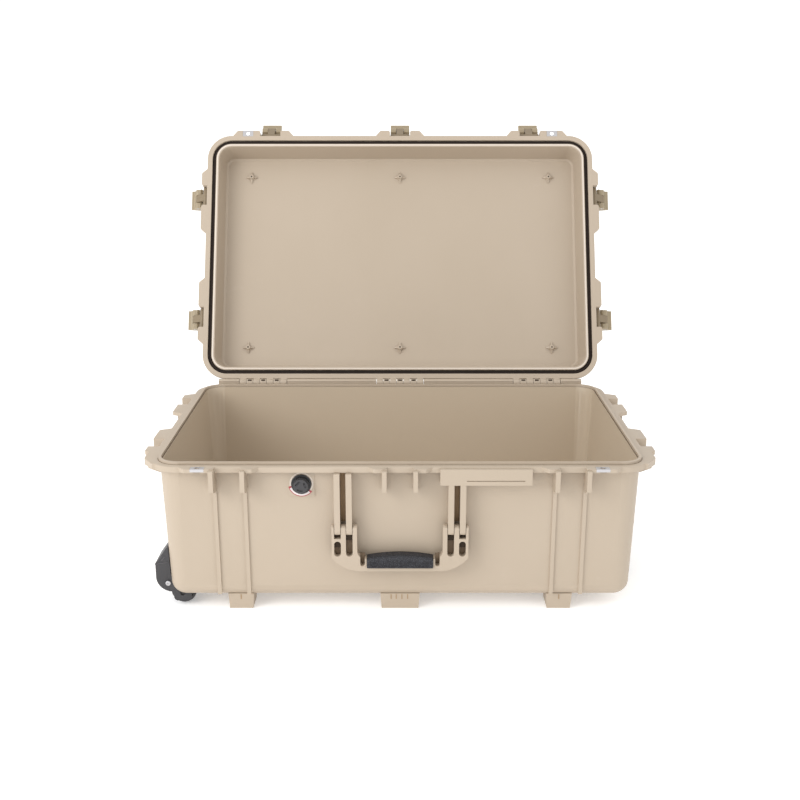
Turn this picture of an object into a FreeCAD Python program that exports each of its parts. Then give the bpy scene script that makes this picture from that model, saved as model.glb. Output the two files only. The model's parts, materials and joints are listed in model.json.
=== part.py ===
"""Wheeled hard case: a moulded base and a hinged lid with double-throw latches.

All lengths are in millimetres. The case is modelled with its lid shut, in a frame whose
X runs to the right, Y to the rear and Z up from the floor. The lid and its latches are then
swung open, and everything is moved so that the origin lies under the middle of the whole.

Two shorthands are used for places round the rim. "out" is the distance outwards from the
middle line of the seal, and "up" is the height above the plane where base and lid meet.
"""
import FreeCAD, Part
import math
import os
from dataclasses import dataclass

Vector = FreeCAD.Vector
OVERRUN = 5.0            # how far a cutting tool runs past what it cuts
EMBED = 3.0              # how far a rib or lug reaches into the wall that carries it
LEVEL_SHARE = 0.001      # height two points of a level edge may differ by, as a share of the overrun

# The seal line, which the rest of the case follows
SEAL_LENGTH = 740.0
SEAL_DEPTH = 466.0
SEAL_CORNER = 34.0
PARTING_HEIGHT = 246.0
LID_OPEN_DEG = 114.0

# Base shell
FOOT_HEIGHT = 22.5
BASE_WALL = 4.5
BASE_FLOOR = 5.0
BASE_DRAFT = 8.5
BASE_EDGE_RADIUS = 22.0

# Rim, sealing tongue and gasket groove
RIM_WIDTH = 13.5
RIM_HEIGHT = 9.5
RIM_EDGE_RADIUS = 1.5
TONGUE_WIDTH = 4.4
TONGUE_HEIGHT = 4.0
PARTING_GAP = 0.4
GROOVE_SIDE_GAP = 1.6
GROOVE_ROOF = 2.5
GASKET_SIDE_GAP = 0.4
GASKET_TONGUE_GAP = 0.4

# Lid shell
LID_LIP = 5.6
LID_DEPTH = 50.0
LID_WALL = 4.0
LID_DRAFT = 9.0
LID_EDGE_RADIUS = 12.0
LID_INNER_RADIUS = 3.0
LID_RIB_HEIGHT = 7.0
LID_RIB_WIDTH = 26.0
LID_RIB_END_INSET = 65.0
LID_RIB_SIDE_INSET = 98.0
LID_RIB_COUNT = 5

# Screw bosses inside the lid
BOSS_END_INSET = 69.0
BOSS_SIDE_INSET = 57.0
BOSS_HEIGHT = 9.0
BOSS_RADIUS = 4.0
BOSS_HOLE_RADIUS = 1.6
BOSS_HOLE_DEPTH = 7.0
BOSS_RIB_REACH = 11.0
BOSS_RIB_THICKNESS = 3.0
BOSS_RIB_TIP = 2.0

# Latch ears on both rims, and the ribs that guard the latches
EAR_WIDTH = 10.5
EAR_SLOPE = 9.0
EAR_DEPTH = 6.0
EAR_CORNER_RADIUS = 4.0
GUARD_WIDTH = 17.5           # how far the base's ribs and end ears reach past its rim
SHOULDER_SLOPE = 26.0
SHOULDER_RADIUS = 14.0
SHOULDER_INSET = 3.0
RIB_THICKNESS = 7.0
RIB_TOP_STEP = 2.0
RIB_DROP = 41.0
RIB_SLOPE = 6.5
LOW_RIB_WIDTH = 6.0
LOW_RIB_HEIGHT = 3.0
LOW_RIB_FLOOR_GAP = 7.0

# Latch claw, lever and pins
LATCH_PIN_RADIUS = 2.0
LATCH_PIVOT_INSET = 6.0      # the claw's pivot, inwards from the ear's face
LATCH_PIVOT_UP = 16.0
LUG_RADIUS = 6.0
LUG_BACK_RISE = 8.0
CLAW_STEP_OUT = 5.0
CLAW_STEP_DOWN = 21.0
CLAW_RADIUS = 4.6
CLAW_WIDTH = 14.0
LEVER_WIDTH = 38.0
LEVER_SIDE_GAP = 1.0
LEVER_CHEEK_GAP = 0.8
LEVER_PLATE_THICKNESS = 4.5
LEVER_PLATE_OUT = 5.4
LEVER_ABOVE_PIVOT = 9.0
LEVER_BELOW_PIVOT = 33.0
LEVER_LIP = 3.5
LEVER_LIP_HEIGHT = 7.0
LEVER_CHEEK_RADIUS = 5.4
LEVER_NOTCH_DROP = 6.0
HOOK_GAP = 0.6
HOOK_THICKNESS = 4.4
HOOK_BITE = 4.5
HOOK_BACK = 5.0
CLAW_OPEN_DEG = 115.0
LEVER_OPEN_DEG = 65.0

# Fits of pins in their bores
PIN_FIXED_GAP = 0.02
PIN_RUNNING_GAP = 0.06

# Hinge
HINGE_OUT = 21.0
HINGE_UP = 2.0
KNUCKLE_RADIUS = 7.0
KNUCKLE_PITCH = 13.0
KNUCKLE_GAP = 0.6
KNUCKLE_COUNT = 7
HINGE_PIN_RADIUS = 3.0
HINGE_FROM_END = 106.0
RAIL_GAP = 2.5
RAIL_WIDTH = 8.0
RAIL_UP = 6.5
RAIL_HINGE_GAP = 5.0
RAIL_FROM_END = 20.0

# Places of the latches and padlock plates round the rim
FRONT_LATCH_FROM_END = 110.5
SIDE_LATCH_FROM_FRONT = 110.0
SIDE_LATCH_FROM_REAR = 109.0
FRONT_EAR_OUTER = 54.0
FRONT_EAR_INNER = 26.0
CENTRE_EAR = 28.0
SIDE_EAR_SHORT = 34.0
SIDE_EAR_LONG = 58.0
PADLOCK_HOLE_RADIUS = 4.0
PADLOCK_PLATE_LENGTH = 21.0
PADLOCK_PLATE_THICKNESS = 1.5
PADLOCK_BEHIND_HOLE = 6.0
PADLOCK_BEFORE_HOLE = 6.0
PADLOCK_NOTCH_GAP = 1.5
PADLOCK_FROM_SLOT = 24.5
PADLOCK_LIP = 4.7

# Carrying handles and their brackets
HANDLE_WIDTH = 209.0
HANDLE_LEG = 39.0
HANDLE_THICKNESS = 15.0
HANDLE_TOP_RADIUS = 8.5
HANDLE_DROP = 66.0
HANDLE_BAR_HEIGHT = 20.0
HANDLE_SWEEP = 44.0          # width of the curve at each lower corner
HANDLE_SWEEP_RISE = 22.0
HANDLE_INNER_RADIUS = 13.0
HANDLE_PIVOT_UP = -101.0
HANDLE_PIVOT_OUT = 11.0
HANDLE_PIN_RADIUS = 3.0
HANDLE_SLOT_GAP = 0.7
HANDLE_SLOT_DEPTH = 42.0
HANDLE_WEB = 4.0             # bar across an outer slot, and the room left over it
COLUMN_WIDTH = 9.0
COLUMN_SPACING = 18.0
COLUMN_INSET = 13.5
COLUMN_RADIUS = 8.5
SIDE_COLUMN_TOP_DROP = 48.0
RELIEF_SLOT_WIDTH = 7.0
RELIEF_SLOT_HEIGHT = 18.0
RELIEF_SLOT_INSET = 8.0
GRIP_END_GAP = 1.5
GRIP_RISE = 2.0
GRIP_ARCH = 5.0
GRIP_LIP = 6.0
GRIP_SIDE = 4.0
GRIP_CROWN_RADIUS = 6.0

# Blank plate on the front rim
PLATE_LEFT_X = 60.5
PLATE_LENGTH = 138.5
PLATE_DROP = 27.2
PLATE_PROUD = 6.5
PLATE_GROOVE = 1.6
PLATE_GROOVE_DROP = 19.3
PLATE_GROOVE_LENGTH = 87.0
PLATE_GROOVE_INSET = 11.0

# Feet
FOOT_LENGTH = 40.5
FOOT_CENTRE_LENGTH = 62.0
FOOT_DEPTH = 44.0
FOOT_TAPER = 1.8
FOOT_FROM_END = 119.0
FOOT_FRONT_INSET = 15.2

# Wheels and their housings at the left end
WHEEL_RADIUS = 20.0
WHEEL_WIDTH = 30.0
WHEEL_FLOOR_GAP = 1.0
WHEEL_INSET = 16.0
WHEEL_FROM_SEAL_Y = 51.0
WHEEL_SIDE_GAP = 2.0
WHEEL_RADIAL_GAP = 3.0
TYRE_THICKNESS = 5.0
TYRE_CROWN = 3.0
HUB_RECESS = 4.0
BEARING_RADIUS = 10.0
BEARING_WIDTH = 7.0
AXLE_RADIUS = 4.0
AXLE_END_INSET = 2.0
HOUSING_CHEEK = 7.0
HOUSING_GAP = 0.4
HOUSING_REACH = 25.0
HOUSING_TOP = 99.0
HOUSING_CREASE = 72.0
HOUSING_LOWER = 42.0
HOUSING_FOOT = 23.8
HOUSING_FOOT_RADIUS = 26.0
HOUSING_INNER_RISE = 8.0
HOUSING_LUG_HALF = 14.0
HOUSING_LUG_FOOT = 8.0
HOUSING_LUG_RADIUS = 6.0
POCKET_WALL = 3.5
SCREW_RADIUS = 2.5
SCREW_HEAD_RADIUS = 4.0
SCREW_HEAD_HEIGHT = 2.2
SCREW_LENGTH = 9.0
SCREW_INSET = 6.0
SCREW_HEIGHT = 38.8

# Pull handle under the base
TUBE_WIDTH = 18.0
TUBE_HEIGHT = 9.0
TUBE_WALL = 1.6
TUBE_SPACING = 140.0
TUBE_GAP = 0.4
GUIDE_WALL = 2.6
GUIDE_LEFT_X = -205.0
GUIDE_FROM_END = 52.0
GUIDE_TAB_LENGTH = 16.0
GUIDE_TAB_WIDTH = 12.0
GUIDE_TAB_COUNT = 4
PULL_GRIP_LENGTH = 176.0
PULL_GRIP_DEPTH = 26.0
PULL_GRIP_PAST_SEAL = 14.0
PULL_GRIP_BASE_GAP = 0.8
PULL_GRIP_RADIUS = 5.0
PULL_SOCKET_LENGTH = 12.0
BUTTON_LENGTH = 30.0
BUTTON_HEIGHT = 8.0
BUTTON_DEPTH = 9.0
BUTTON_PROUD = 3.0
BUTTON_TRAVEL_SPACE = 4.0
BUTTON_GAP = 0.35
BUTTON_EDGE_RADIUS = 1.0
PULL_TRAVEL = 350.0
PULL_OVERLAP = 143.0         # length of tube still in its guide when the handle is pulled right out
GUIDE_SCREW_RADIUS = 1.8
GUIDE_SCREW_HEAD_RADIUS = 3.4
GUIDE_SCREW_HEAD_HEIGHT = 2.0
GUIDE_SCREW_LENGTH = 3.0

# Pressure valve on the front
VALVE_X = -150.0
VALVE_DROP = 31.0
VALVE_BOSS_SIZE = 40.0
VALVE_BOSS_PROUD = 1.2
VALVE_FLANGE_RADIUS = 15.5
VALVE_FLANGE_THICKNESS = 3.0
VALVE_STEM_RADIUS = 8.0
VALVE_STEM_GAP = 0.2
VALVE_STEM_INSIDE = 9.0
VALVE_SPIGOT_RADIUS = 3.0
VALVE_SPIGOT_LENGTH = 5.0
VALVE_KNOB_RADIUS = 12.5
VALVE_KNOB_THICKNESS = 6.0
VALVE_KNOB_GAP = 0.4
VALVE_KNOB_RIDGE = 2.4
VALVE_RIDGE_WIDTH = 5.0
VALVE_NOTCH_RADIUS = 0.9
VALVE_NOTCH_COUNT = 24
VALVE_SEAL_THICKNESS = 1.2
VALVE_SEAL_RADIUS = 13.0
VALVE_NUT_RADIUS = 13.0
VALVE_NUT_THICKNESS = 5.0
VALVE_NUT_SIDES = 6
VALVE_NUT_GAP = 0.6

# Sizes that follow from the ones above
HALF_LENGTH = SEAL_LENGTH / 2
HALF_DEPTH = SEAL_DEPTH / 2
GROOVE_HALF = TONGUE_WIDTH / 2 + GROOVE_SIDE_GAP
GROOVE_TOP = RIM_HEIGHT - GROOVE_ROOF
LID_INSIDE = GROOVE_HALF + LID_LIP
EAR_OUT = RIM_WIDTH + EAR_WIDTH
GUARD_OUT = RIM_WIDTH + GUARD_WIDTH
GRIP_LENGTH = HANDLE_WIDTH - 2 * (HANDLE_LEG + HANDLE_INNER_RADIUS + GRIP_END_GAP)
LID_RIB_LENGTH = SEAL_LENGTH - 2 * LID_RIB_END_INSET
LID_RIB_SPREAD = SEAL_DEPTH - 2 * LID_RIB_SIDE_INSET
BOSS_SPAN_X = SEAL_LENGTH - 2 * BOSS_END_INSET
BOSS_SPAN_Y = SEAL_DEPTH - 2 * BOSS_SIDE_INSET
SLOT_HALF = LEVER_WIDTH / 2 + LEVER_SIDE_GAP
CLAW_PIVOT = (EAR_OUT - LATCH_PIVOT_INSET, LATCH_PIVOT_UP)
LEVER_PIVOT = (CLAW_PIVOT[0] + CLAW_STEP_OUT, CLAW_PIVOT[1] - CLAW_STEP_DOWN)
HINGE_Y = HALF_DEPTH + HINGE_OUT
HINGE_SPACING = HALF_LENGTH - HINGE_FROM_END
FRONT_LATCH_X = HALF_LENGTH - FRONT_LATCH_FROM_END
SIDE_LATCH_FRONT_Y = -(HALF_DEPTH - SIDE_LATCH_FROM_FRONT)
SIDE_LATCH_REAR_Y = HALF_DEPTH - SIDE_LATCH_FROM_REAR
FOOT_X = HALF_LENGTH - FOOT_FROM_END
HINGE_Z = PARTING_HEIGHT + HINGE_UP
PADLOCK_X = FRONT_LATCH_X + SLOT_HALF + PADLOCK_FROM_SLOT
PADLOCK_HOLE_OUT = EAR_OUT - PADLOCK_BEFORE_HOLE
HANDLE_PIVOT_Z = PARTING_HEIGHT + HANDLE_PIVOT_UP
WHEEL_Z = WHEEL_RADIUS + WHEEL_FLOOR_GAP
WALL_FOOT_X = HALF_LENGTH - BASE_DRAFT
WHEEL_X = -(WALL_FOOT_X - WHEEL_INSET)
WHEEL_Y = HALF_DEPTH - WHEEL_FROM_SEAL_Y
GUIDE_RIGHT_X = HALF_LENGTH - GUIDE_FROM_END
PULL_GRIP_RIGHT_X = HALF_LENGTH + PULL_GRIP_PAST_SEAL
TUBE_TOP = FOOT_HEIGHT - GUIDE_WALL - TUBE_GAP
TUBE_MIDDLE = TUBE_TOP - TUBE_HEIGHT / 2
TUBE_BACK_X = GUIDE_RIGHT_X - PULL_OVERLAP - PULL_TRAVEL


@dataclass(frozen=True)
class Station:
    """One latch: its name, the turn of its wall, its place, and its ears' lengths either side."""
    name: str
    turn: float
    x: float
    y: float
    ear_before: float
    ear_after: float
    low_ribs: bool


STATIONS = (
    Station("front_left", 0, -FRONT_LATCH_X, -HALF_DEPTH, FRONT_EAR_OUTER, FRONT_EAR_INNER, True),
    Station("front_centre", 0, 0, -HALF_DEPTH, CENTRE_EAR, CENTRE_EAR, False),
    Station("front_right", 0, FRONT_LATCH_X, -HALF_DEPTH, FRONT_EAR_INNER, FRONT_EAR_OUTER, True),
    Station("left_front", -90, -HALF_LENGTH, SIDE_LATCH_FRONT_Y, SIDE_EAR_LONG, SIDE_EAR_SHORT, False),
    Station("left_rear", -90, -HALF_LENGTH, SIDE_LATCH_REAR_Y, SIDE_EAR_SHORT, SIDE_EAR_LONG, False),
    Station("right_front", 90, HALF_LENGTH, SIDE_LATCH_FRONT_Y, SIDE_EAR_SHORT, SIDE_EAR_LONG, False),
    Station("right_rear", 90, HALF_LENGTH, SIDE_LATCH_REAR_Y, SIDE_EAR_LONG, SIDE_EAR_SHORT, False),
)


# General shapes

def box(x0, x1, y0, y1, z0, z1):
    """Block between two opposite corners."""
    return Part.makeBox(x1 - x0, y1 - y0, z1 - z0, Vector(x0, y0, z0))


def rod(radius, start, end):
    """Round bar from one point to another."""
    along = Vector(*end) - Vector(*start)
    return Part.makeCylinder(radius, along.Length, Vector(*start), along)


def tube(outer, inner, start, end):
    """Round bar with a bore right through it."""
    return rod(outer, start, end).cut(rod(inner, start, end))


def fused(shapes):
    """One solid of several, with the seams between flat neighbours taken out."""
    shapes = list(shapes)
    return shapes[0].fuse(shapes[1:]).removeSplitter()


def mirrored_x(shape):
    """The same shape on the other side of the case's middle plane."""
    return shape.mirror(Vector(0, 0, 0), Vector(1, 0, 0))


def mirrored_y(shape):
    """The same shape on the other side, front to rear."""
    return shape.mirror(Vector(0, 0, 0), Vector(0, 1, 0))


def prism(points, direction):
    """Solid swept from a flat outline along a vector."""
    corners = [Vector(*point) for point in points]
    face = Part.Face(Part.makePolygon(corners + corners[:1]))
    return face.extrude(Vector(*direction))


def wall_section(points, first, last):
    """Solid with an (out, up) outline, swept along a straight wall from first to last."""
    return prism([(first, -out, up) for out, up in points], (last - first, 0, 0))


def wall_rod(pivot, radius, first, last):
    """Round bar along a straight wall about an (out, up) pivot."""
    return rod(radius, (first, -pivot[0], pivot[1]), (last, -pivot[0], pivot[1]))


def wall_link(start, end, radius, first, last):
    """Bar with round ends between two (out, up) pivots."""
    run = math.hypot(end[0] - start[0], end[1] - start[1])
    side = ((end[1] - start[1]) / run * radius, (start[0] - end[0]) / run * radius)
    body = wall_section([
        (start[0] + side[0], start[1] + side[1]),
        (end[0] + side[0], end[1] + side[1]),
        (end[0] - side[0], end[1] - side[1]),
        (start[0] - side[0], start[1] - side[1])], first, last)
    return fused([body, wall_rod(start, radius, first, last), wall_rod(end, radius, first, last)])


def at_wall(shape, turn, x, y, z):
    """Shape made for the front wall, turned to another wall and put in its place."""
    placed = shape.copy()
    placed.rotate(Vector(0, 0, 0), Vector(0, 0, 1), turn)
    placed.translate(Vector(x, y, z))
    return placed


def at_station(shape, station):
    """Shape made about a latch's own origin, put at that latch on the rim."""
    return at_wall(shape, station.turn, station.x, station.y, PARTING_HEIGHT)


def rim_outline(out, z):
    """Closed outline that runs at a set distance outside the seal line."""
    half_x = HALF_LENGTH + out
    half_y = HALF_DEPTH + out
    radius = SEAL_CORNER + out
    diagonal = radius * math.cos(math.pi / 4)
    edges = []
    for corner in range(4):
        across = (half_x, half_y) if corner % 2 == 0 else (half_y, half_x)
        turn = FreeCAD.Rotation(Vector(0, 0, 1), 90 * corner)
        centre = Vector(across[0] - radius, across[1] - radius, 0)
        start = centre + Vector(radius, 0, 0)
        middle = centre + Vector(diagonal, diagonal, 0)
        end = centre + Vector(0, radius, 0)
        straight = Vector(across[0], -(across[1] - radius), 0)
        lift = Vector(0, 0, z)
        points = [turn.multVec(point) + lift for point in (straight, start, middle, end)]
        edges.append(Part.makeLine(points[0], points[1]))
        edges.append(Part.Arc(points[1], points[2], points[3]).toShape())
    return Part.Wire(edges)


def rim_prism(out, low, high):
    """Solid with the rim's outline, between two heights above the floor."""
    return Part.Face(rim_outline(out, low)).extrude(Vector(0, 0, high - low))


def rim_ring(inner, outer, low, high):
    """Band that runs round the rim."""
    return rim_prism(outer, low, high).cut(rim_prism(inner, low, high))


def tub(low_out, low, high_out, high):
    """Tapered solid between two rim outlines."""
    return Part.makeLoft([rim_outline(low_out, low), rim_outline(high_out, high)], True, True)


def level_edges(shape, z):
    """Edges that lie at one height."""
    near = OVERRUN * LEVEL_SHARE
    return [edge for edge in shape.Edges
            if abs(edge.BoundBox.ZMin - z) < near and abs(edge.BoundBox.ZMax - z) < near]


def upright_edges(shape, x, y):
    """Upright edges over one point of the plan."""
    near = OVERRUN * LEVEL_SHARE
    return [edge for edge in shape.Edges
            if edge.BoundBox.ZLength > near and edge.BoundBox.XLength < near and edge.BoundBox.YLength < near
            and abs(edge.BoundBox.XMin - x) < near and abs(edge.BoundBox.YMin - y) < near]


# Base shell

def base_out(z):
    """How far the base's outer wall stands outside the seal line at a height: it drafts inwards."""
    return -BASE_DRAFT * (PARTING_HEIGHT - z) / (PARTING_HEIGHT - FOOT_HEIGHT)


def base_outside():
    """The base's outer form, below the rim."""
    body = tub(base_out(FOOT_HEIGHT), FOOT_HEIGHT, base_out(PARTING_HEIGHT), PARTING_HEIGHT)
    return body.makeFillet(BASE_EDGE_RADIUS, level_edges(body, FOOT_HEIGHT))


def base_cavity():
    """The space inside the base."""
    low = FOOT_HEIGHT + BASE_FLOOR
    high = PARTING_HEIGHT + TONGUE_HEIGHT + OVERRUN
    body = tub(base_out(low) - BASE_WALL, low, base_out(high) - BASE_WALL, high)
    return body.makeFillet(BASE_EDGE_RADIUS - BASE_WALL, level_edges(body, low))


def ear(start, end, face, slope, root, radius, low, high):
    """Flat ear along a rim, square at its start, with a rounded slope from its face to its root."""
    corner = end - math.copysign(slope, end)
    outline = [(start, 0), (start, -face), (corner, -face), (end, -root), (end, 0)]
    body = prism([(along, y, low) for along, y in outline], (0, 0, high - low))
    return body.makeFillet(radius, upright_edges(body, corner, -face))


def station_ears(station, face, low, high):
    """Both ears of one latch."""
    before = SLOT_HALF + station.ear_before
    after = SLOT_HALF + station.ear_after
    return [ear(-SLOT_HALF, -before, face, EAR_SLOPE, RIM_WIDTH, EAR_CORNER_RADIUS, low, high),
            ear(SLOT_HALF, after, face, EAR_SLOPE, RIM_WIDTH, EAR_CORNER_RADIUS, low, high)]


def corner_shoulder(station):
    """Wide stretch of the base's rim, from the short ear at one end round to the front corner."""
    end = SIDE_LATCH_FROM_FRONT - SHOULDER_INSET
    side = 1 if station.turn < 0 else -1
    return ear(side * SLOT_HALF, side * end, EAR_OUT, SHOULDER_SLOPE, RIM_WIDTH / 2, SHOULDER_RADIUS,
               -RIM_HEIGHT, 0)


def both_ribs(points, thickness):
    """A pair of upright ribs with an (out, up) outline, one each side of a latch's slot."""
    left = wall_section(points, -SLOT_HALF - thickness, -SLOT_HALF)
    return [left, mirrored_x(left)]


def base_latch_ribs(station):
    """Ribs below the base's rim that guard one latch, and the low ribs that run on to the floor."""
    foot = PARTING_HEIGHT - RIB_DROP
    tall = [
        (base_out(foot) - EMBED, -RIB_DROP),
        (RIM_WIDTH, -RIB_DROP),
        (GUARD_OUT, -RIB_DROP + RIB_SLOPE),
        (GUARD_OUT, -RIB_TOP_STEP),
        (0, -RIB_TOP_STEP)]
    ribs = both_ribs(tall, RIB_THICKNESS)
    if station.low_ribs:
        low_end = FOOT_HEIGHT + LOW_RIB_FLOOR_GAP
        drop = low_end - PARTING_HEIGHT
        low = [
            (base_out(low_end) - EMBED, drop),
            (base_out(low_end) + LOW_RIB_HEIGHT, drop),
            (base_out(foot) + LOW_RIB_HEIGHT, -RIB_DROP),
            (base_out(foot) - EMBED, -RIB_DROP)]
        ribs += both_ribs(low, LOW_RIB_WIDTH)
    return ribs


def padlock_notch(low, high):
    """Open notch in an ear's front edge, wider than the padlock plate's hole."""
    half = PADLOCK_HOLE_RADIUS + PADLOCK_NOTCH_GAP
    return box(-half, half, -(EAR_OUT + OVERRUN), -(PADLOCK_HOLE_OUT - half), low, high)


def padlock_seat(low, high):
    """Room for a padlock plate's flat, open to the ear's front."""
    half = PADLOCK_PLATE_LENGTH / 2
    back = PADLOCK_HOLE_OUT - PADLOCK_BEHIND_HOLE
    return box(-half, half, -(EAR_OUT + OVERRUN), -back, low, high)


def at_padlock(shape):
    """A shape at both padlock places on the front rim."""
    return [at_wall(shape, 0, sign * PADLOCK_X, -HALF_DEPTH, PARTING_HEIGHT) for sign in (-1, 1)]


def handle_columns(top):
    """Bracket columns of one carrying handle, about the middle of the wall, in (along, -out, z)."""
    pivot = (HANDLE_PIVOT_OUT, HANDLE_PIVOT_Z)
    face = HANDLE_PIVOT_OUT + COLUMN_RADIUS
    back = base_out(HANDLE_PIVOT_Z) - EMBED
    foot = HANDLE_PIVOT_Z - COLUMN_RADIUS
    outline = [(back, foot), (HANDLE_PIVOT_OUT, foot), (face, HANDLE_PIVOT_Z), (face, top), (back, top)]
    columns = []
    for middle in column_places():
        first = middle - COLUMN_WIDTH / 2
        last = middle + COLUMN_WIDTH / 2
        column = fused([wall_section(outline, first, last),
                        wall_rod(pivot, COLUMN_RADIUS, first, last)])
        bore = wall_rod(pivot, HANDLE_PIN_RADIUS + PIN_FIXED_GAP, first - OVERRUN, last + OVERRUN)
        columns.append(column.cut(bore))
    return columns


def column_places():
    """Middles of the four columns along the wall."""
    outer = HANDLE_WIDTH / 2 - COLUMN_INSET + COLUMN_WIDTH / 2
    inner = outer - COLUMN_SPACING
    return [-outer, -inner, inner, outer]


def hinge_knuckles(low_side):
    """Knuckles of all three hinges: the odd ones on the base, the others on the lid."""
    pivot = (HINGE_OUT, HINGE_UP)
    if low_side:
        arm = [(RIM_WIDTH - EMBED, -RIM_HEIGHT), (HINGE_OUT, -RIM_HEIGHT + EMBED),
               (HINGE_OUT + KNUCKLE_RADIUS, HINGE_UP), (HINGE_OUT, HINGE_UP), (RIM_WIDTH, 0),
               (RIM_WIDTH - EMBED, 0)]
    else:
        arm = [(RIM_WIDTH - EMBED, PARTING_GAP), (RIM_WIDTH, PARTING_GAP), (HINGE_OUT, HINGE_UP),
               (HINGE_OUT, HINGE_UP + KNUCKLE_RADIUS), (RIM_WIDTH, RIM_HEIGHT),
               (RIM_WIDTH - EMBED, RIM_HEIGHT)]
    knuckles = []
    half = (KNUCKLE_PITCH - KNUCKLE_GAP) / 2
    for hinge in (-1, 0, 1):
        for place in range(KNUCKLE_COUNT):
            if (place % 2 == 1) != low_side:
                continue
            middle = hinge * HINGE_SPACING + (place - (KNUCKLE_COUNT - 1) / 2) * KNUCKLE_PITCH
            knuckle = fused([wall_section(arm, middle - half, middle + half),
                             wall_rod(pivot, KNUCKLE_RADIUS, middle - half, middle + half)])
            gap = PIN_FIXED_GAP if low_side else PIN_RUNNING_GAP
            bore = wall_rod(pivot, HINGE_PIN_RADIUS + gap, middle - half - OVERRUN, middle + half + OVERRUN)
            knuckles.append(at_wall(knuckle.cut(bore), 180, 0, HALF_DEPTH, PARTING_HEIGHT))
    return knuckles


def hinge_rails():
    """Raised rails on the base's rear rim, between and beside the hinges."""
    inner = RIM_WIDTH + RAIL_GAP
    outer = inner + RAIL_WIDTH
    section = [(RIM_WIDTH - EMBED, -RIM_HEIGHT), (RIM_WIDTH, -RIM_HEIGHT), (outer, 0), (outer, RAIL_UP),
               (inner, RAIL_UP), (inner, -EMBED), (RIM_WIDTH - EMBED, -EMBED)]
    beside = KNUCKLE_COUNT * KNUCKLE_PITCH / 2 + RAIL_HINGE_GAP
    spans = ((beside, HINGE_SPACING - beside), (HINGE_SPACING + beside, HALF_LENGTH - RAIL_FROM_END))
    rails = []
    for first, last in spans:
        rail = at_wall(wall_section(section, first, last), 180, 0, HALF_DEPTH, PARTING_HEIGHT)
        rails += [rail, mirrored_x(rail)]
    return rails


def feet():
    """Six feet, three along the front and three along the rear."""
    top = FOOT_HEIGHT + BASE_FLOOR - EMBED / 2
    front = -(HALF_DEPTH - FOOT_FRONT_INSET)
    result = []
    for x, length in ((-FOOT_X, FOOT_LENGTH), (0, FOOT_CENTRE_LENGTH), (FOOT_X, FOOT_LENGTH)):
        outlines = []
        for z, taper in ((0, FOOT_TAPER), (top, 0)):
            half = length / 2 - taper
            corners = [(x - half, front + taper), (x + half, front + taper),
                       (x + half, front + FOOT_DEPTH - taper), (x - half, front + FOOT_DEPTH - taper)]
            points = [Vector(px, py, z) for px, py in corners]
            outlines.append(Part.makePolygon(points + points[:1]))
        foot = Part.makeLoft(outlines, True, True)
        result += [foot, mirrored_y(foot)]
    return result


def blank_plate():
    """Bare plate on the front rim, with a shallow groove above its lower edge."""
    foot = PARTING_HEIGHT - PLATE_DROP
    face = RIM_WIDTH + PLATE_PROUD
    right = PLATE_LEFT_X + PLATE_LENGTH
    plate = wall_section([(base_out(foot) - EMBED, -PLATE_DROP), (face, -PLATE_DROP), (face, -RIB_TOP_STEP),
                          (0, -RIB_TOP_STEP)], PLATE_LEFT_X, right)
    low = -PLATE_GROOVE_DROP
    groove_right = right - PLATE_GROOVE_INSET
    groove = box(groove_right - PLATE_GROOVE_LENGTH, groove_right, -(face + OVERRUN),
                 -(face - PLATE_GROOVE), low - PLATE_GROOVE, low)
    return at_wall(plate.cut(groove), 0, 0, -HALF_DEPTH, PARTING_HEIGHT)


def valve_face():
    """Distance of the valve boss's face outside the seal line."""
    return base_out(PARTING_HEIGHT - VALVE_DROP) + VALVE_BOSS_PROUD


def valve_boss():
    """Raised square pad that carries the pressure valve."""
    half = VALVE_BOSS_SIZE / 2
    middle = PARTING_HEIGHT - VALVE_DROP
    back = base_out(middle - half) - EMBED
    return box(VALVE_X - half, VALVE_X + half, -HALF_DEPTH - valve_face(), -HALF_DEPTH - back,
               middle - half, PARTING_HEIGHT - RIM_HEIGHT)


def valve_rod(radius, outer, inner):
    """Round bar along the valve's axis, between two distances outside the seal line."""
    z = PARTING_HEIGHT - VALVE_DROP
    return rod(radius, (VALVE_X, -HALF_DEPTH - outer, z), (VALVE_X, -HALF_DEPTH - inner, z))


def pocket_sizes():
    """Inner face, half width and roof of the pocket that holds a wheel housing."""
    inner_x = WHEEL_X + WHEEL_RADIUS + WHEEL_RADIAL_GAP + POCKET_WALL
    half = WHEEL_WIDTH / 2 + WHEEL_SIDE_GAP + HOUSING_CHEEK + HOUSING_GAP
    roof = WHEEL_Z + WHEEL_RADIUS + WHEEL_RADIAL_GAP + HOUSING_INNER_RISE
    return inner_x, half, roof


def wheel_pocket(grow):
    """Pocket at the front left corner, grown outwards on its closed sides."""
    inner_x, half, roof = pocket_sizes()
    left = -(HALF_LENGTH + RIM_WIDTH)
    return box(left, inner_x + grow, -WHEEL_Y - half - grow, -WHEEL_Y + half + grow, 0, roof + grow)


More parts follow.
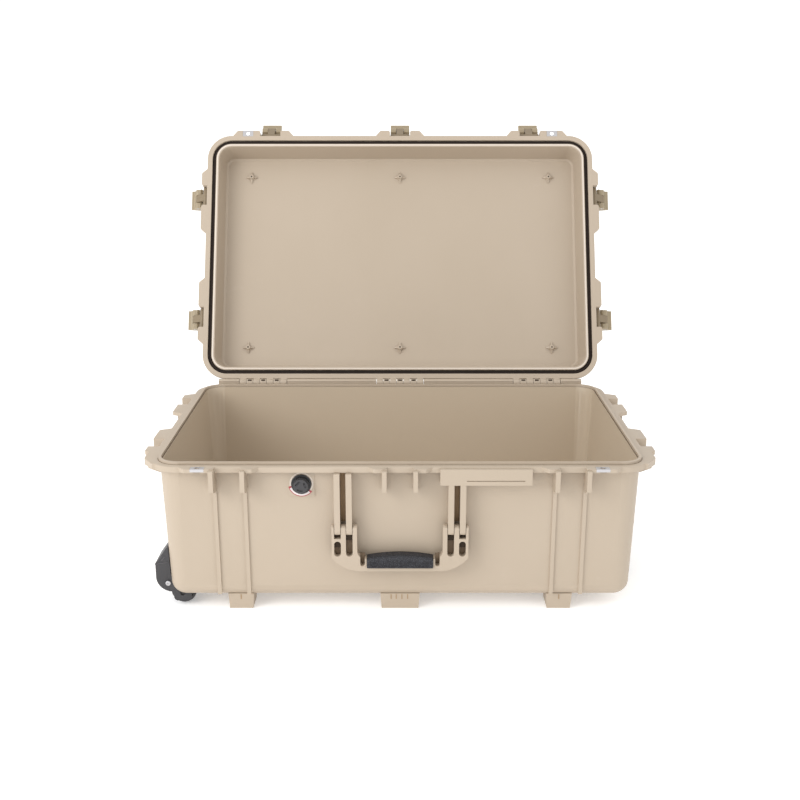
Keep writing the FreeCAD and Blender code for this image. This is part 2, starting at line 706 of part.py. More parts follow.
def make_base_shell():
    """The base: tub, rim, tongue, ears, ribs, brackets, knuckles and feet in one moulding."""
    rim_foot = PARTING_HEIGHT - RIM_HEIGHT
    rim = rim_prism(RIM_WIDTH, rim_foot, PARTING_HEIGHT)
    rim = rim.makeFillet(RIM_EDGE_RADIUS, level_edges(rim, rim_foot) + level_edges(rim, PARTING_HEIGHT))
    tongue = rim_prism(TONGUE_WIDTH / 2, PARTING_HEIGHT - EMBED, PARTING_HEIGHT + TONGUE_HEIGHT)
    solids = [base_outside(), rim, tongue, blank_plate(), valve_boss()]
    for station in STATIONS:
        face = GUARD_OUT if station.turn else EAR_OUT
        pieces = station_ears(station, face, -EAR_DEPTH, 0) + base_latch_ribs(station)
        if station.y == SIDE_LATCH_FRONT_Y:
            pieces.append(corner_shoulder(station))
        solids += [at_station(piece, station) for piece in pieces]
    columns = handle_columns(rim_foot)
    solids += [at_wall(column, 0, 0, -HALF_DEPTH, 0) for column in columns]
    side_columns = handle_columns(rim_foot - SIDE_COLUMN_TOP_DROP)
    solids += [at_wall(column, 90, HALF_LENGTH, 0, 0) for column in side_columns]
    solids += hinge_knuckles(True)
    solids += hinge_rails()
    solids += feet()
    shell = fused(solids)
    well = wheel_pocket(POCKET_WALL)
    cavity = base_cavity().cut(fused([well, mirrored_y(well)]))
    shell = shell.cut(cavity)
    shell = shell.cut(rim_prism(-TONGUE_WIDTH / 2, PARTING_HEIGHT, PARTING_HEIGHT + TONGUE_HEIGHT + OVERRUN))
    pocket = wheel_pocket(0)
    shell = shell.cut(pocket).cut(mirrored_y(pocket))
    shell = shell.cut(valve_rod(VALVE_STEM_RADIUS + VALVE_STEM_GAP, valve_face() + OVERRUN,
                                base_out(PARTING_HEIGHT - VALVE_DROP) - BASE_WALL - OVERRUN))
    seat = fused([padlock_seat(-PADLOCK_PLATE_THICKNESS, OVERRUN), padlock_lip(-PADLOCK_LIP, 0),
                  padlock_notch(-RIM_HEIGHT - OVERRUN, OVERRUN)])
    for cut in at_padlock(seat):
        shell = shell.cut(cut)
    return shell.removeSplitter()


def padlock_lip(low, high):
    """Turned front edge of a padlock plate."""
    half = PADLOCK_PLATE_LENGTH / 2
    return box(-half, half, -EAR_OUT, -(EAR_OUT - PADLOCK_PLATE_THICKNESS), low, high)


def padlock_plate(low, high, lip_low, lip_high):
    """Bent steel plate with the padlock's hole: a flat over the ear and a lip down its front."""
    half = PADLOCK_PLATE_LENGTH / 2
    back = PADLOCK_HOLE_OUT - PADLOCK_BEHIND_HOLE
    flat = box(-half, half, -EAR_OUT, -back, low, high)
    hole = rod(PADLOCK_HOLE_RADIUS, (0, -PADLOCK_HOLE_OUT, low - OVERRUN),
               (0, -PADLOCK_HOLE_OUT, high + OVERRUN))
    return fused([flat, padlock_lip(lip_low, lip_high)]).cut(hole)


# Lid, modelled shut

def lid_out(up):
    """How far the lid's inner wall stands outside the seal line at a height above the rim."""
    return -LID_INSIDE - LID_DRAFT * up / LID_DEPTH


def lid_lugs():
    """Pair of lugs that carry one latch's pivot pin."""
    pivot_out, pivot_up = CLAW_PIVOT
    outline = [
        (lid_out(0) + LID_WALL, PARTING_GAP),
        (EAR_OUT, PARTING_GAP),
        (pivot_out + LUG_RADIUS, pivot_up),
        (pivot_out, pivot_up + LUG_RADIUS),
        (lid_out(pivot_up) + LID_WALL - EMBED, pivot_up + LUG_RADIUS + LUG_BACK_RISE)]
    lugs = both_ribs(outline, RIB_THICKNESS)
    end = SLOT_HALF + RIB_THICKNESS
    for first, last in ((-end, -SLOT_HALF), (SLOT_HALF, end)):
        lugs.append(wall_rod(CLAW_PIVOT, LUG_RADIUS, first, last))
    return lugs


def slot_corners():
    """Tool that rounds the outer corners of a latch slot, right up the ears and lugs beside it."""
    radius = EAR_CORNER_RADIUS
    top = LATCH_PIVOT_UP + LUG_RADIUS + OVERRUN
    centre = (SLOT_HALF + radius, -(EAR_OUT - radius))
    corner = box(SLOT_HALF - OVERRUN, centre[0], -(EAR_OUT + OVERRUN), centre[1], 0, top)
    corner = corner.cut(rod(radius, (*centre, 0), (*centre, top)))
    return fused([corner, mirrored_x(corner)])


def lid_ribs():
    """Long ribs on the lid's top that stiffen it and keep a stacked case's feet in place."""
    top = PARTING_HEIGHT + LID_DEPTH + LID_WALL
    half = LID_RIB_LENGTH / 2 - LID_RIB_WIDTH / 2
    ribs = []
    for place in range(LID_RIB_COUNT):
        y = LID_RIB_SPREAD * (place / (LID_RIB_COUNT - 1) - 1 / 2)
        low = top - LID_WALL / 2
        high = top + LID_RIB_HEIGHT
        ribs.append(fused([
            box(-half, half, y - LID_RIB_WIDTH / 2, y + LID_RIB_WIDTH / 2, low, high),
            rod(LID_RIB_WIDTH / 2, (-half, y, low), (-half, y, high)),
            rod(LID_RIB_WIDTH / 2, (half, y, low), (half, y, high))]))
    return ribs


def boss_places():
    """Middles of the six screw bosses."""
    return [(sx * BOSS_SPAN_X / 2, sy * BOSS_SPAN_Y / 2) for sx in (-1, 0, 1) for sy in (-1, 1)]


def lid_bosses():
    """Six round screw bosses, each with four tapered ribs, hanging from the lid's inside."""
    root = PARTING_HEIGHT + LID_DEPTH + LID_WALL / 2
    tip = PARTING_HEIGHT + LID_DEPTH - BOSS_HEIGHT
    half = BOSS_RIB_THICKNESS / 2
    rib = prism([(0, -half, root), (BOSS_RIB_REACH, -half, root),
                 (BOSS_RIB_REACH, -half, root - LID_WALL), (0, -half, tip + BOSS_RIB_TIP)],
                (0, BOSS_RIB_THICKNESS, 0))
    ribs = []
    for quarter in range(4):
        ribs.append(at_wall(rib, 90 * quarter, 0, 0, 0))
    post = rod(BOSS_RADIUS, (0, 0, tip), (0, 0, root))
    hole = rod(BOSS_HOLE_RADIUS, (0, 0, tip - OVERRUN), (0, 0, tip + BOSS_HOLE_DEPTH))
    boss = fused([post] + ribs).cut(hole)
    return [at_wall(boss, 0, x, y, 0) for x, y in boss_places()]


def make_lid_shell():
    """The lid: tub, rim with its gasket groove, ears, lugs, bosses, ribs and knuckles in one moulding."""
    low = PARTING_HEIGHT + PARTING_GAP
    rim_top = PARTING_HEIGHT + RIM_HEIGHT
    inside_top = PARTING_HEIGHT + LID_DEPTH
    top = inside_top + LID_WALL
    outside = tub(lid_out(PARTING_GAP) + LID_WALL, low, lid_out(LID_DEPTH + LID_WALL) + LID_WALL, top)
    outside = outside.makeFillet(LID_EDGE_RADIUS, level_edges(outside, top))
    rim = rim_prism(RIM_WIDTH, low, rim_top)
    rim = rim.makeFillet(RIM_EDGE_RADIUS, level_edges(rim, low) + level_edges(rim, rim_top))
    solids = [outside, rim]
    for station in STATIONS:
        pieces = station_ears(station, EAR_OUT, PARTING_GAP, RIM_HEIGHT) + lid_lugs()
        solids += [at_station(piece, station) for piece in pieces]
    solids += lid_ribs()
    solids += hinge_knuckles(False)
    shell = fused(solids)
    mouth = -OVERRUN
    cavity = tub(lid_out(mouth), PARTING_HEIGHT + mouth, lid_out(LID_DEPTH), inside_top)
    cavity = cavity.makeFillet(LID_INNER_RADIUS, level_edges(cavity, inside_top))
    shell = shell.cut(cavity)
    shell = shell.cut(rim_ring(-GROOVE_HALF, GROOVE_HALF, PARTING_HEIGHT, PARTING_HEIGHT + GROOVE_TOP))
    shell = shell.fuse(lid_bosses())
    for station in STATIONS:
        shell = shell.cut(at_station(slot_corners(), station))
        end = SLOT_HALF + RIB_THICKNESS + OVERRUN
        bore = wall_rod(CLAW_PIVOT, LATCH_PIN_RADIUS + PIN_FIXED_GAP, -end, end)
        shell = shell.cut(at_station(bore, station))
    plate_top = PARTING_GAP + PADLOCK_PLATE_THICKNESS
    seat = fused([padlock_seat(0, plate_top), padlock_lip(0, PADLOCK_LIP),
                  padlock_notch(0, RIM_HEIGHT + OVERRUN)])
    for cut in at_padlock(seat):
        shell = shell.cut(cut)
    return shell.removeSplitter()


def make_lid_gasket():
    """Rubber ring that fills the groove's roof and meets the base's tongue."""
    half = GROOVE_HALF - GASKET_SIDE_GAP
    low = PARTING_HEIGHT + TONGUE_HEIGHT + GASKET_TONGUE_GAP
    return rim_ring(-half, half, low, PARTING_HEIGHT + GROOVE_TOP)


# Latches, modelled shut about each latch's own origin

def make_claw():
    """Link between the lid's pivot pin and the lever: a narrow neck on a barrel that fills the slot."""
    half = CLAW_WIDTH / 2
    end = LEVER_WIDTH / 2
    body = fused([wall_link(CLAW_PIVOT, LEVER_PIVOT, CLAW_RADIUS, -half, half),
                  wall_rod(CLAW_PIVOT, CLAW_RADIUS, -end, end)])
    for pivot, gap in ((CLAW_PIVOT, PIN_RUNNING_GAP), (LEVER_PIVOT, PIN_FIXED_GAP)):
        body = body.cut(wall_rod(pivot, LATCH_PIN_RADIUS + gap, -end - OVERRUN, end + OVERRUN))
    return body


def make_lever():
    """Pull-up lever: a plate with a finger lip, two cheeks on the pivot, and the hook."""
    pivot_out, pivot_up = LEVER_PIVOT
    half = LEVER_WIDTH / 2
    inner = pivot_out + LEVER_PLATE_OUT
    outer = inner + LEVER_PLATE_THICKNESS
    top = pivot_up + LEVER_ABOVE_PIVOT
    foot = pivot_up - LEVER_BELOW_PIVOT
    plate = wall_section([
        (inner, top), (outer, top - LEVER_PLATE_THICKNESS), (outer, foot + LEVER_LIP_HEIGHT),
        (outer + LEVER_LIP, foot), (inner + LEVER_LIP, foot), (inner, foot + LEVER_LIP_HEIGHT)], -half, half)
    hook_top = -RIM_HEIGHT - HOOK_GAP
    hook_foot = hook_top - HOOK_THICKNESS
    hook = wall_section([
        (RIM_WIDTH - HOOK_BITE, hook_top), (inner + EMBED, hook_top + HOOK_BACK),
        (inner + EMBED, hook_foot - HOOK_BACK), (RIM_WIDTH - HOOK_BITE, hook_foot + HOOK_GAP)], -half, half)
    hook = hook.cut(wall_section([
        (RIM_WIDTH - HOOK_BITE - OVERRUN, hook_top), (RIM_WIDTH + HOOK_GAP, hook_top),
        (RIM_WIDTH + HOOK_GAP, hook_top + HOOK_BACK + OVERRUN),
        (RIM_WIDTH - HOOK_BITE - OVERRUN, hook_top + HOOK_BACK + OVERRUN)], -half - OVERRUN, half + OVERRUN))
    cheek_inner = CLAW_WIDTH / 2 + LEVER_CHEEK_GAP
    cheek = fused([
        wall_rod(LEVER_PIVOT, LEVER_CHEEK_RADIUS, cheek_inner, half),
        wall_section([
            (pivot_out, pivot_up + LEVER_CHEEK_RADIUS), (inner + EMBED, pivot_up + LEVER_CHEEK_RADIUS),
            (inner + EMBED, hook_foot), (pivot_out - LEVER_CHEEK_RADIUS, pivot_up)], cheek_inner, half)])
    room = wall_rod(LEVER_PIVOT, CLAW_RADIUS + LEVER_CHEEK_GAP, -cheek_inner, cheek_inner)
    notch = box(-cheek_inner, cheek_inner, -(outer + OVERRUN), -pivot_out, pivot_up - LEVER_NOTCH_DROP,
                top + OVERRUN)
    body = fused([plate.cut(notch), hook.cut(room).cut(notch), cheek, mirrored_x(cheek)])
    end = half + OVERRUN
    return body.cut(wall_rod(LEVER_PIVOT, LATCH_PIN_RADIUS + PIN_RUNNING_GAP, -end, end))


def swung(shape, pivot, degrees):
    """Latch piece swung outwards about an (out, up) pivot."""
    turned = shape.copy()
    turned.rotate(Vector(0, -pivot[0], pivot[1]), Vector(-1, 0, 0), degrees)
    return turned


def latch_pieces():
    """Claw, lever and lever pin of one latch, thrown open."""
    half = LEVER_WIDTH / 2
    pieces = {
        "claw": make_claw(),
        "lever": swung(make_lever(), LEVER_PIVOT, LEVER_OPEN_DEG),
        "lever_pin": wall_rod(LEVER_PIVOT, LATCH_PIN_RADIUS, -half, half)}
    return {name: swung(shape, CLAW_PIVOT, CLAW_OPEN_DEG) for name, shape in pieces.items()}


# Carrying handle, modelled on the front wall in (along, -out, z)

def handle_outline():
    """Handle's plain form: two legs joined by the grip's bar, curved at the lower corners."""
    half = HANDLE_WIDTH / 2
    top = HANDLE_PIVOT_Z + HANDLE_TOP_RADIUS
    foot = HANDLE_PIVOT_Z - HANDLE_DROP
    gap_half = half - HANDLE_LEG
    bar_top = foot + HANDLE_BAR_HEIGHT
    radius = (HANDLE_SWEEP ** 2 + HANDLE_SWEEP_RISE ** 2) / (2 * HANDLE_SWEEP_RISE)
    flat = half - HANDLE_SWEEP
    turn = math.asin(HANDLE_SWEEP / radius) / 2
    halfway = (flat + radius * math.sin(turn), foot + radius * (1 - math.cos(turn)))
    right = [(flat, foot), halfway, (half, foot + HANDLE_SWEEP_RISE)]
    right = [Vector(x, 0, z) for x, z in right]
    left = [Vector(-point.x, 0, point.z) for point in right]
    tops = [Vector(half, 0, top), Vector(-half, 0, top)]
    edges = [Part.makeLine(left[0], right[0]), Part.Arc(*right).toShape(), Part.makeLine(right[2], tops[0]),
             Part.makeLine(*tops), Part.makeLine(tops[1], left[2]), Part.Arc(*reversed(left)).toShape()]
    solid = Part.Face(Part.Wire(edges)).extrude(Vector(0, HANDLE_THICKNESS, 0))
    gap = box(-gap_half, gap_half, -OVERRUN, HANDLE_THICKNESS + OVERRUN, bar_top, top + OVERRUN)
    inner = [edge for edge in gap.Edges
             if edge.BoundBox.ZMax - bar_top < OVERRUN and edge.BoundBox.YLength > OVERRUN]
    return solid.cut(gap.makeFillet(HANDLE_INNER_RADIUS, inner))


def handle_slot(middle, half, low, high):
    """Tool for an upright slot with round ends, right through the handle."""
    front = -(HANDLE_PIVOT_OUT + HANDLE_THICKNESS)
    straight = box(middle - half, middle + half, front, 0, low + half, high - half)
    ends = [rod(half, (middle, front, z), (middle, 0, z)) for z in (low + half, high - half)]
    return fused([straight] + ends)


def make_handle():
    """Carrying handle's frame with its forked legs, hanging down against the wall."""
    back = -(HANDLE_PIVOT_OUT - HANDLE_THICKNESS / 2)
    body = at_wall(handle_outline(), 0, 0, back - HANDLE_THICKNESS, 0)
    half = HANDLE_WIDTH / 2
    pivot = (HANDLE_PIVOT_OUT, HANDLE_PIVOT_Z)
    rounded = wall_rod(pivot, HANDLE_TOP_RADIUS, -half, half)
    below = box(-half, half, -(HANDLE_PIVOT_OUT + HANDLE_THICKNESS), 0,
                HANDLE_PIVOT_Z - HANDLE_DROP - OVERRUN, HANDLE_PIVOT_Z)
    body = body.common(fused([rounded, below]))
    slot = COLUMN_WIDTH / 2 + HANDLE_SLOT_GAP
    front = -(HANDLE_PIVOT_OUT + HANDLE_THICKNESS)
    top = HANDLE_PIVOT_Z + HANDLE_TOP_RADIUS + OVERRUN
    long_foot = HANDLE_PIVOT_Z - HANDLE_SLOT_DEPTH
    short_foot = HANDLE_PIVOT_Z - (COLUMN_RADIUS + HANDLE_SLOT_GAP + HANDLE_WEB)
    for middle in column_places():
        if abs(middle) == max(column_places()):
            body = body.cut(box(middle - slot, middle + slot, front, 0, short_foot, top))
            body = body.cut(handle_slot(middle, slot, long_foot, short_foot - HANDLE_WEB))
        else:
            body = body.cut(handle_slot(middle, slot, long_foot, top + slot))
    relief = half - HANDLE_LEG - RELIEF_SLOT_INSET
    low = HANDLE_PIVOT_Z - HANDLE_DROP + RELIEF_SLOT_INSET
    for side in (-relief, relief):
        body = body.cut(handle_slot(side, RELIEF_SLOT_WIDTH / 2, low, low + RELIEF_SLOT_HEIGHT))
    return body.cut(wall_rod(pivot, HANDLE_PIN_RADIUS + PIN_RUNNING_GAP, -half - OVERRUN, half + OVERRUN))


def make_handle_grip():
    """Rubber grip with an arched top, moulded over the handle's bar and open along its lower lip."""
    foot = HANDLE_PIVOT_Z - HANDLE_DROP
    half = GRIP_LENGTH / 2
    front = HANDLE_PIVOT_OUT + HANDLE_THICKNESS / 2
    back = HANDLE_PIVOT_OUT - HANDLE_THICKNESS / 2
    bar_top = foot + HANDLE_BAR_HEIGHT
    face = -(front + GRIP_SIDE)
    low = foot + GRIP_LIP
    top = bar_top + GRIP_RISE
    ends = [Vector(x, face, z) for x, z in ((-half, low), (half, low), (half, top), (-half, top))]
    crown = Part.Arc(ends[2], Vector(0, face, top + GRIP_ARCH), ends[3]).toShape()
    outline = Part.Wire([Part.makeLine(ends[0], ends[1]), Part.makeLine(ends[1], ends[2]), crown,
                         Part.makeLine(ends[3], ends[0])])
    outer = Part.Face(outline).extrude(Vector(0, HANDLE_THICKNESS + 2 * GRIP_SIDE, 0))
    crown_edges = [edge for edge in outer.Edges
                   if edge.BoundBox.XLength > half and edge.BoundBox.ZMax > bar_top]
    outer = outer.makeFillet(GRIP_CROWN_RADIUS, crown_edges)
    return outer.cut(box(-half - OVERRUN, half + OVERRUN, -front, -back, foot, bar_top))


def handle_pins():
    """Two pins, each through one leg's fork and its columns."""
    half = HANDLE_WIDTH / 2
    pivot = (HANDLE_PIVOT_OUT, HANDLE_PIVOT_Z)
    pin = wall_rod(pivot, HANDLE_PIN_RADIUS, half - HANDLE_LEG, half)
    return Part.makeCompound([pin, mirrored_x(pin)])


# Wheels at the left end

def wheel_bar(radius, first, last):
    """Round bar along a wheel's axle, measured from the wheel's middle."""
    return rod(radius, (WHEEL_X, first - WHEEL_Y, WHEEL_Z), (WHEEL_X, last - WHEEL_Y, WHEEL_Z))


def make_wheel_housing():
    """Guard that fills the base's corner pocket, bulges past the wall and holds the axle."""
    inner_x, half, roof = pocket_sizes()
    width = half - HOUSING_GAP
    reach = -(WALL_FOOT_X + HOUSING_REACH)
    wall = -(HALF_LENGTH + base_out(HOUSING_TOP) - EMBED)
    outline = [
        (wall, HOUSING_TOP),
        (-(HALF_LENGTH + base_out(HOUSING_TOP)) - EMBED, HOUSING_TOP),
        (reach, HOUSING_CREASE),
        (reach, HOUSING_FOOT),
        (-WALL_FOOT_X + EMBED, HOUSING_FOOT),
        (wall, HOUSING_LOWER)]
    bulge = prism([(x, -WHEEL_Y - width, z) for x, z in outline], (0, 2 * width, 0))
    corner = [edge for edge in bulge.Edges if edge.BoundBox.XMax - reach < OVERRUN
              and edge.BoundBox.ZMax - HOUSING_FOOT < OVERRUN and edge.BoundBox.YLength > width]
    bulge = bulge.makeFillet(min(HOUSING_FOOT_RADIUS, HOUSING_REACH), corner)
    bulge = bulge.cut(tub(base_out(FOOT_HEIGHT) + HOUSING_GAP, 0,
                          base_out(PARTING_HEIGHT) + HOUSING_GAP, PARTING_HEIGHT))
    core = box(-WALL_FOOT_X - HOUSING_GAP - OVERRUN, inner_x - HOUSING_GAP,
               -WHEEL_Y - width, -WHEEL_Y + width, HOUSING_FOOT, roof - HOUSING_GAP)
    lug = box(WHEEL_X - HOUSING_LUG_HALF, WHEEL_X + HOUSING_LUG_HALF, -WHEEL_Y - width, -WHEEL_Y + width,
              HOUSING_LUG_FOOT, HOUSING_FOOT + EMBED)
    foot_edges = [edge for edge in level_edges(lug, HOUSING_LUG_FOOT) if edge.BoundBox.YLength > width]
    body = fused([bulge, core, lug.makeFillet(HOUSING_LUG_RADIUS, foot_edges)])
    slot = WHEEL_WIDTH / 2 + WHEEL_SIDE_GAP
    clear = WHEEL_RADIUS + WHEEL_RADIAL_GAP
    room = fused([
        wheel_bar(clear, -slot, slot),
        box(WHEEL_X - clear, WHEEL_X + clear, -WHEEL_Y - slot, -WHEEL_Y + slot, 0, WHEEL_Z),
        box(reach - OVERRUN, WHEEL_X, -WHEEL_Y - slot, -WHEEL_Y + slot, 0, WHEEL_Z + clear / 2)])
    body = body.cut(room)
    bore = wheel_bar(AXLE_RADIUS + PIN_FIXED_GAP, -half - OVERRUN, half + OVERRUN)
    return body.cut(bore)


def make_axle():
    """Steel axle held in both cheeks of a wheel housing."""
    half = pocket_sizes()[1] - HOUSING_GAP - AXLE_END_INSET
    return wheel_bar(AXLE_RADIUS, -half, half)


def make_tyre():
    """Soft tyre with a crowned tread."""
    half = WHEEL_WIDTH / 2
    inner = WHEEL_RADIUS - TYRE_THICKNESS
    body = wheel_bar(WHEEL_RADIUS, -half, half)
    rims = [edge for edge in body.Edges if edge.BoundBox.YLength < OVERRUN]
    body = body.makeFillet(TYRE_CROWN, rims)
    return body.cut(wheel_bar(inner, -half - OVERRUN, half + OVERRUN))


def make_hub():
    """Wheel centre with a recess and a bearing seat in each side."""
    half = WHEEL_WIDTH / 2
    outer = WHEEL_RADIUS - TYRE_THICKNESS
    body = wheel_bar(outer, -half, half)
    rim = (outer + BEARING_RADIUS) / 2
    seat = half - HUB_RECESS - BEARING_WIDTH
    for first, last in ((-half, -half + HUB_RECESS), (half - HUB_RECESS, half)):
        body = body.cut(wheel_bar(rim, first, last))
    for first, last in ((-half, -seat), (seat, half)):
        body = body.cut(wheel_bar(BEARING_RADIUS, first, last))
    return body.cut(wheel_bar(AXLE_RADIUS + HUB_RECESS / 2, -half, half))


def make_bearings():
    """Two bearings pressed in the hub, running on the axle."""
    outer_end = WHEEL_WIDTH / 2 - HUB_RECESS
    inner_end = outer_end - BEARING_WIDTH
    bearing = wheel_bar(BEARING_RADIUS, inner_end, outer_end)
    other = wheel_bar(BEARING_RADIUS, -outer_end, -inner_end)
    bore = wheel_bar(AXLE_RADIUS + PIN_RUNNING_GAP, -outer_end, outer_end)
    return Part.makeCompound([bearing.cut(bore), other.cut(bore)])


def housing_screw():
    """Screw that shows on the housing's outer cheek."""
    face = -WHEEL_Y - (pocket_sizes()[1] - HOUSING_GAP)
    x = -(WALL_FOOT_X + SCREW_INSET)
    head = rod(SCREW_HEAD_RADIUS, (x, face - SCREW_HEAD_HEIGHT, SCREW_HEIGHT), (x, face, SCREW_HEIGHT))
    shank = rod(SCREW_RADIUS, (x, face, SCREW_HEIGHT), (x, face + SCREW_LENGTH, SCREW_HEIGHT))
    return fused([head, shank])


def housing_screw_bore():
    """Hole for a housing screw's shank."""
    face = -WHEEL_Y - (pocket_sizes()[1] - HOUSING_GAP)
    x = -(WALL_FOOT_X + SCREW_INSET)
    return rod(SCREW_RADIUS, (x, face - OVERRUN, SCREW_HEIGHT), (x, face + SCREW_LENGTH, SCREW_HEIGHT))


# Pull handle under the base

def guide_tab_places():
    """Middles of the screw tabs along a guide."""
    run = GUIDE_RIGHT_X - GUIDE_LEFT_X - GUIDE_TAB_LENGTH
    return [GUIDE_LEFT_X + GUIDE_TAB_LENGTH / 2 + run * place / (GUIDE_TAB_COUNT - 1)
            for place in range(GUIDE_TAB_COUNT)]


def guide_half():
    """Half the width of a guide's channel, walls included."""
    return TUBE_WIDTH / 2 + TUBE_GAP + GUIDE_WALL


def guide_screw_places():
    """Middles of all guide screws."""
    y = TUBE_SPACING / 2 + guide_half() + GUIDE_TAB_WIDTH / 2
    return [(x, side * y) for x in guide_tab_places() for side in (-1, 1)]


def make_pull_guides():
    """Two long channels under the base that the pull handle's tubes slide in."""
    half = guide_half()
    low = TUBE_TOP - TUBE_HEIGHT - TUBE_GAP - GUIDE_WALL
    middle = TUBE_SPACING / 2
    body = box(GUIDE_LEFT_X, GUIDE_RIGHT_X, middle - half, middle + half, low, FOOT_HEIGHT)
    inner = TUBE_WIDTH / 2 + TUBE_GAP
    channel = box(GUIDE_LEFT_X - OVERRUN, GUIDE_RIGHT_X + OVERRUN, middle - inner, middle + inner,
                  low + GUIDE_WALL, TUBE_TOP + TUBE_GAP)
    tabs = [box(x - GUIDE_TAB_LENGTH / 2, x + GUIDE_TAB_LENGTH / 2, middle + half - GUIDE_WALL,
                middle + half + GUIDE_TAB_WIDTH, FOOT_HEIGHT - GUIDE_WALL, FOOT_HEIGHT)
            for x in guide_tab_places()]
    guide = fused([body] + tabs).cut(channel)
    for x, y in guide_screw_places():
        if y > 0:
            guide = guide.cut(rod(GUIDE_SCREW_RADIUS + PIN_FIXED_GAP, (x, y, 0), (x, y, FOOT_HEIGHT)))
    return Part.makeCompound([guide, mirrored_y(guide)])


def make_guide_screws():
    """Screws that hold the guides to the base."""
    under = FOOT_HEIGHT - GUIDE_WALL
    screws = []
    for x, y in guide_screw_places():
        head = rod(GUIDE_SCREW_HEAD_RADIUS, (x, y, under - GUIDE_SCREW_HEAD_HEIGHT), (x, y, under))
        shank = rod(GUIDE_SCREW_RADIUS, (x, y, under), (x, y, FOOT_HEIGHT + GUIDE_SCREW_LENGTH))
        screws.append(fused([head, shank]))
    return Part.makeCompound(screws)


def guide_screw_bores():
    """Holes in the base's floor for the guide screws."""
    return [rod(GUIDE_SCREW_RADIUS + PIN_FIXED_GAP, (x, y, 0), (x, y, FOOT_HEIGHT + GUIDE_SCREW_LENGTH))
            for x, y in guide_screw_places()]


def pull_grip_left():
    """Left face of the pull handle's cross bar."""
    return PULL_GRIP_RIGHT_X - PULL_GRIP_DEPTH


def make_pull_tubes():
    """Two rectangular tubes of the pull handle."""
    middle = TUBE_SPACING / 2
    half = TUBE_WIDTH / 2
    low = TUBE_TOP - TUBE_HEIGHT
    end = pull_grip_left() + PULL_SOCKET_LENGTH
    outer = box(TUBE_BACK_X, end, middle - half, middle + half, low, TUBE_TOP)
    inner = box(TUBE_BACK_X - OVERRUN, end + OVERRUN, middle - half + TUBE_WALL, middle + half - TUBE_WALL,
                low + TUBE_WALL, TUBE_TOP - TUBE_WALL)
    bar = outer.cut(inner)
    return Part.makeCompound([bar, mirrored_y(bar)])


def button_block(gap, left, right):
    """Block with the release button's section, grown by a gap."""
    return box(left, right, -BUTTON_LENGTH / 2 - gap, BUTTON_LENGTH / 2 + gap,
               TUBE_MIDDLE - BUTTON_HEIGHT / 2 - gap, TUBE_MIDDLE + BUTTON_HEIGHT / 2 + gap)


def make_pull_grip():
    """Cross bar of the pull handle, with sockets for the tubes and a well for the button."""
    half = PULL_GRIP_LENGTH / 2
    top = FOOT_HEIGHT - PULL_GRIP_BASE_GAP
    low = 2 * TUBE_MIDDLE - top
    body = box(pull_grip_left(), PULL_GRIP_RIGHT_X, -half, half, low, top)
    upright = [edge for edge in body.Edges
               if edge.BoundBox.ZLength > TUBE_HEIGHT and edge.BoundBox.XMin > pull_grip_left()]
    body = body.makeFillet(PULL_GRIP_RADIUS, upright)
    for side in (-1, 1):
        middle = side * TUBE_SPACING / 2
        body = body.cut(box(pull_grip_left() - OVERRUN, pull_grip_left() + PULL_SOCKET_LENGTH,
                            middle - TUBE_WIDTH / 2, middle + TUBE_WIDTH / 2,
                            TUBE_TOP - TUBE_HEIGHT, TUBE_TOP))
    well = PULL_GRIP_RIGHT_X - BUTTON_DEPTH - BUTTON_TRAVEL_SPACE
    return body.cut(button_block(BUTTON_GAP, well, PULL_GRIP_RIGHT_X + OVERRUN))


def make_pull_button():
    """Release button in the end of the pull handle's grip."""
    button = button_block(0, PULL_GRIP_RIGHT_X - BUTTON_DEPTH, PULL_GRIP_RIGHT_X + BUTTON_PROUD)
    front = [edge for edge in button.Edges if edge.BoundBox.XMin > PULL_GRIP_RIGHT_X]
    return button.makeFillet(BUTTON_EDGE_RADIUS, front)


# Pressure valve

def make_valve_body():
    """Valve's flange, stem and spigot."""
    face = valve_face() + VALVE_SEAL_THICKNESS
    inside = base_out(PARTING_HEIGHT - VALVE_DROP) - BASE_WALL - VALVE_STEM_INSIDE
    flange = valve_rod(VALVE_FLANGE_RADIUS, face + VALVE_FLANGE_THICKNESS, face)
    stem = valve_rod(VALVE_STEM_RADIUS, face, inside)
    spigot = valve_rod(VALVE_SPIGOT_RADIUS, face + VALVE_FLANGE_THICKNESS + VALVE_SPIGOT_LENGTH, face)
    return fused([flange, stem, spigot])


def make_valve_knob():
    """Round knob with a finger ridge and a notched rim."""
    back = valve_face() + VALVE_SEAL_THICKNESS + VALVE_FLANGE_THICKNESS + VALVE_KNOB_GAP
    front = back + VALVE_KNOB_THICKNESS
    body = valve_rod(VALVE_KNOB_RADIUS, front, back)
    z = PARTING_HEIGHT - VALVE_DROP
    reach = VALVE_KNOB_RADIUS - VALVE_RIDGE_WIDTH
    ridge = box(VALVE_X - reach, VALVE_X + reach, -HALF_DEPTH - front - VALVE_KNOB_RIDGE, -HALF_DEPTH - front,
                z - VALVE_RIDGE_WIDTH / 2, z + VALVE_RIDGE_WIDTH / 2)
    body = fused([body, ridge])
    for notch in range(VALVE_NOTCH_COUNT):
        angle = 2 * math.pi * notch / VALVE_NOTCH_COUNT
        x = VALVE_X + VALVE_KNOB_RADIUS * math.cos(angle)
        nz = z + VALVE_KNOB_RADIUS * math.sin(angle)
        body = body.cut(rod(VALVE_NOTCH_RADIUS, (x, -HALF_DEPTH - front - OVERRUN, nz),
                            (x, -HALF_DEPTH - back + OVERRUN, nz)))
    bore = valve_rod(VALVE_SPIGOT_RADIUS + PIN_RUNNING_GAP, back + VALVE_SPIGOT_LENGTH, back)
    return body.cut(bore)


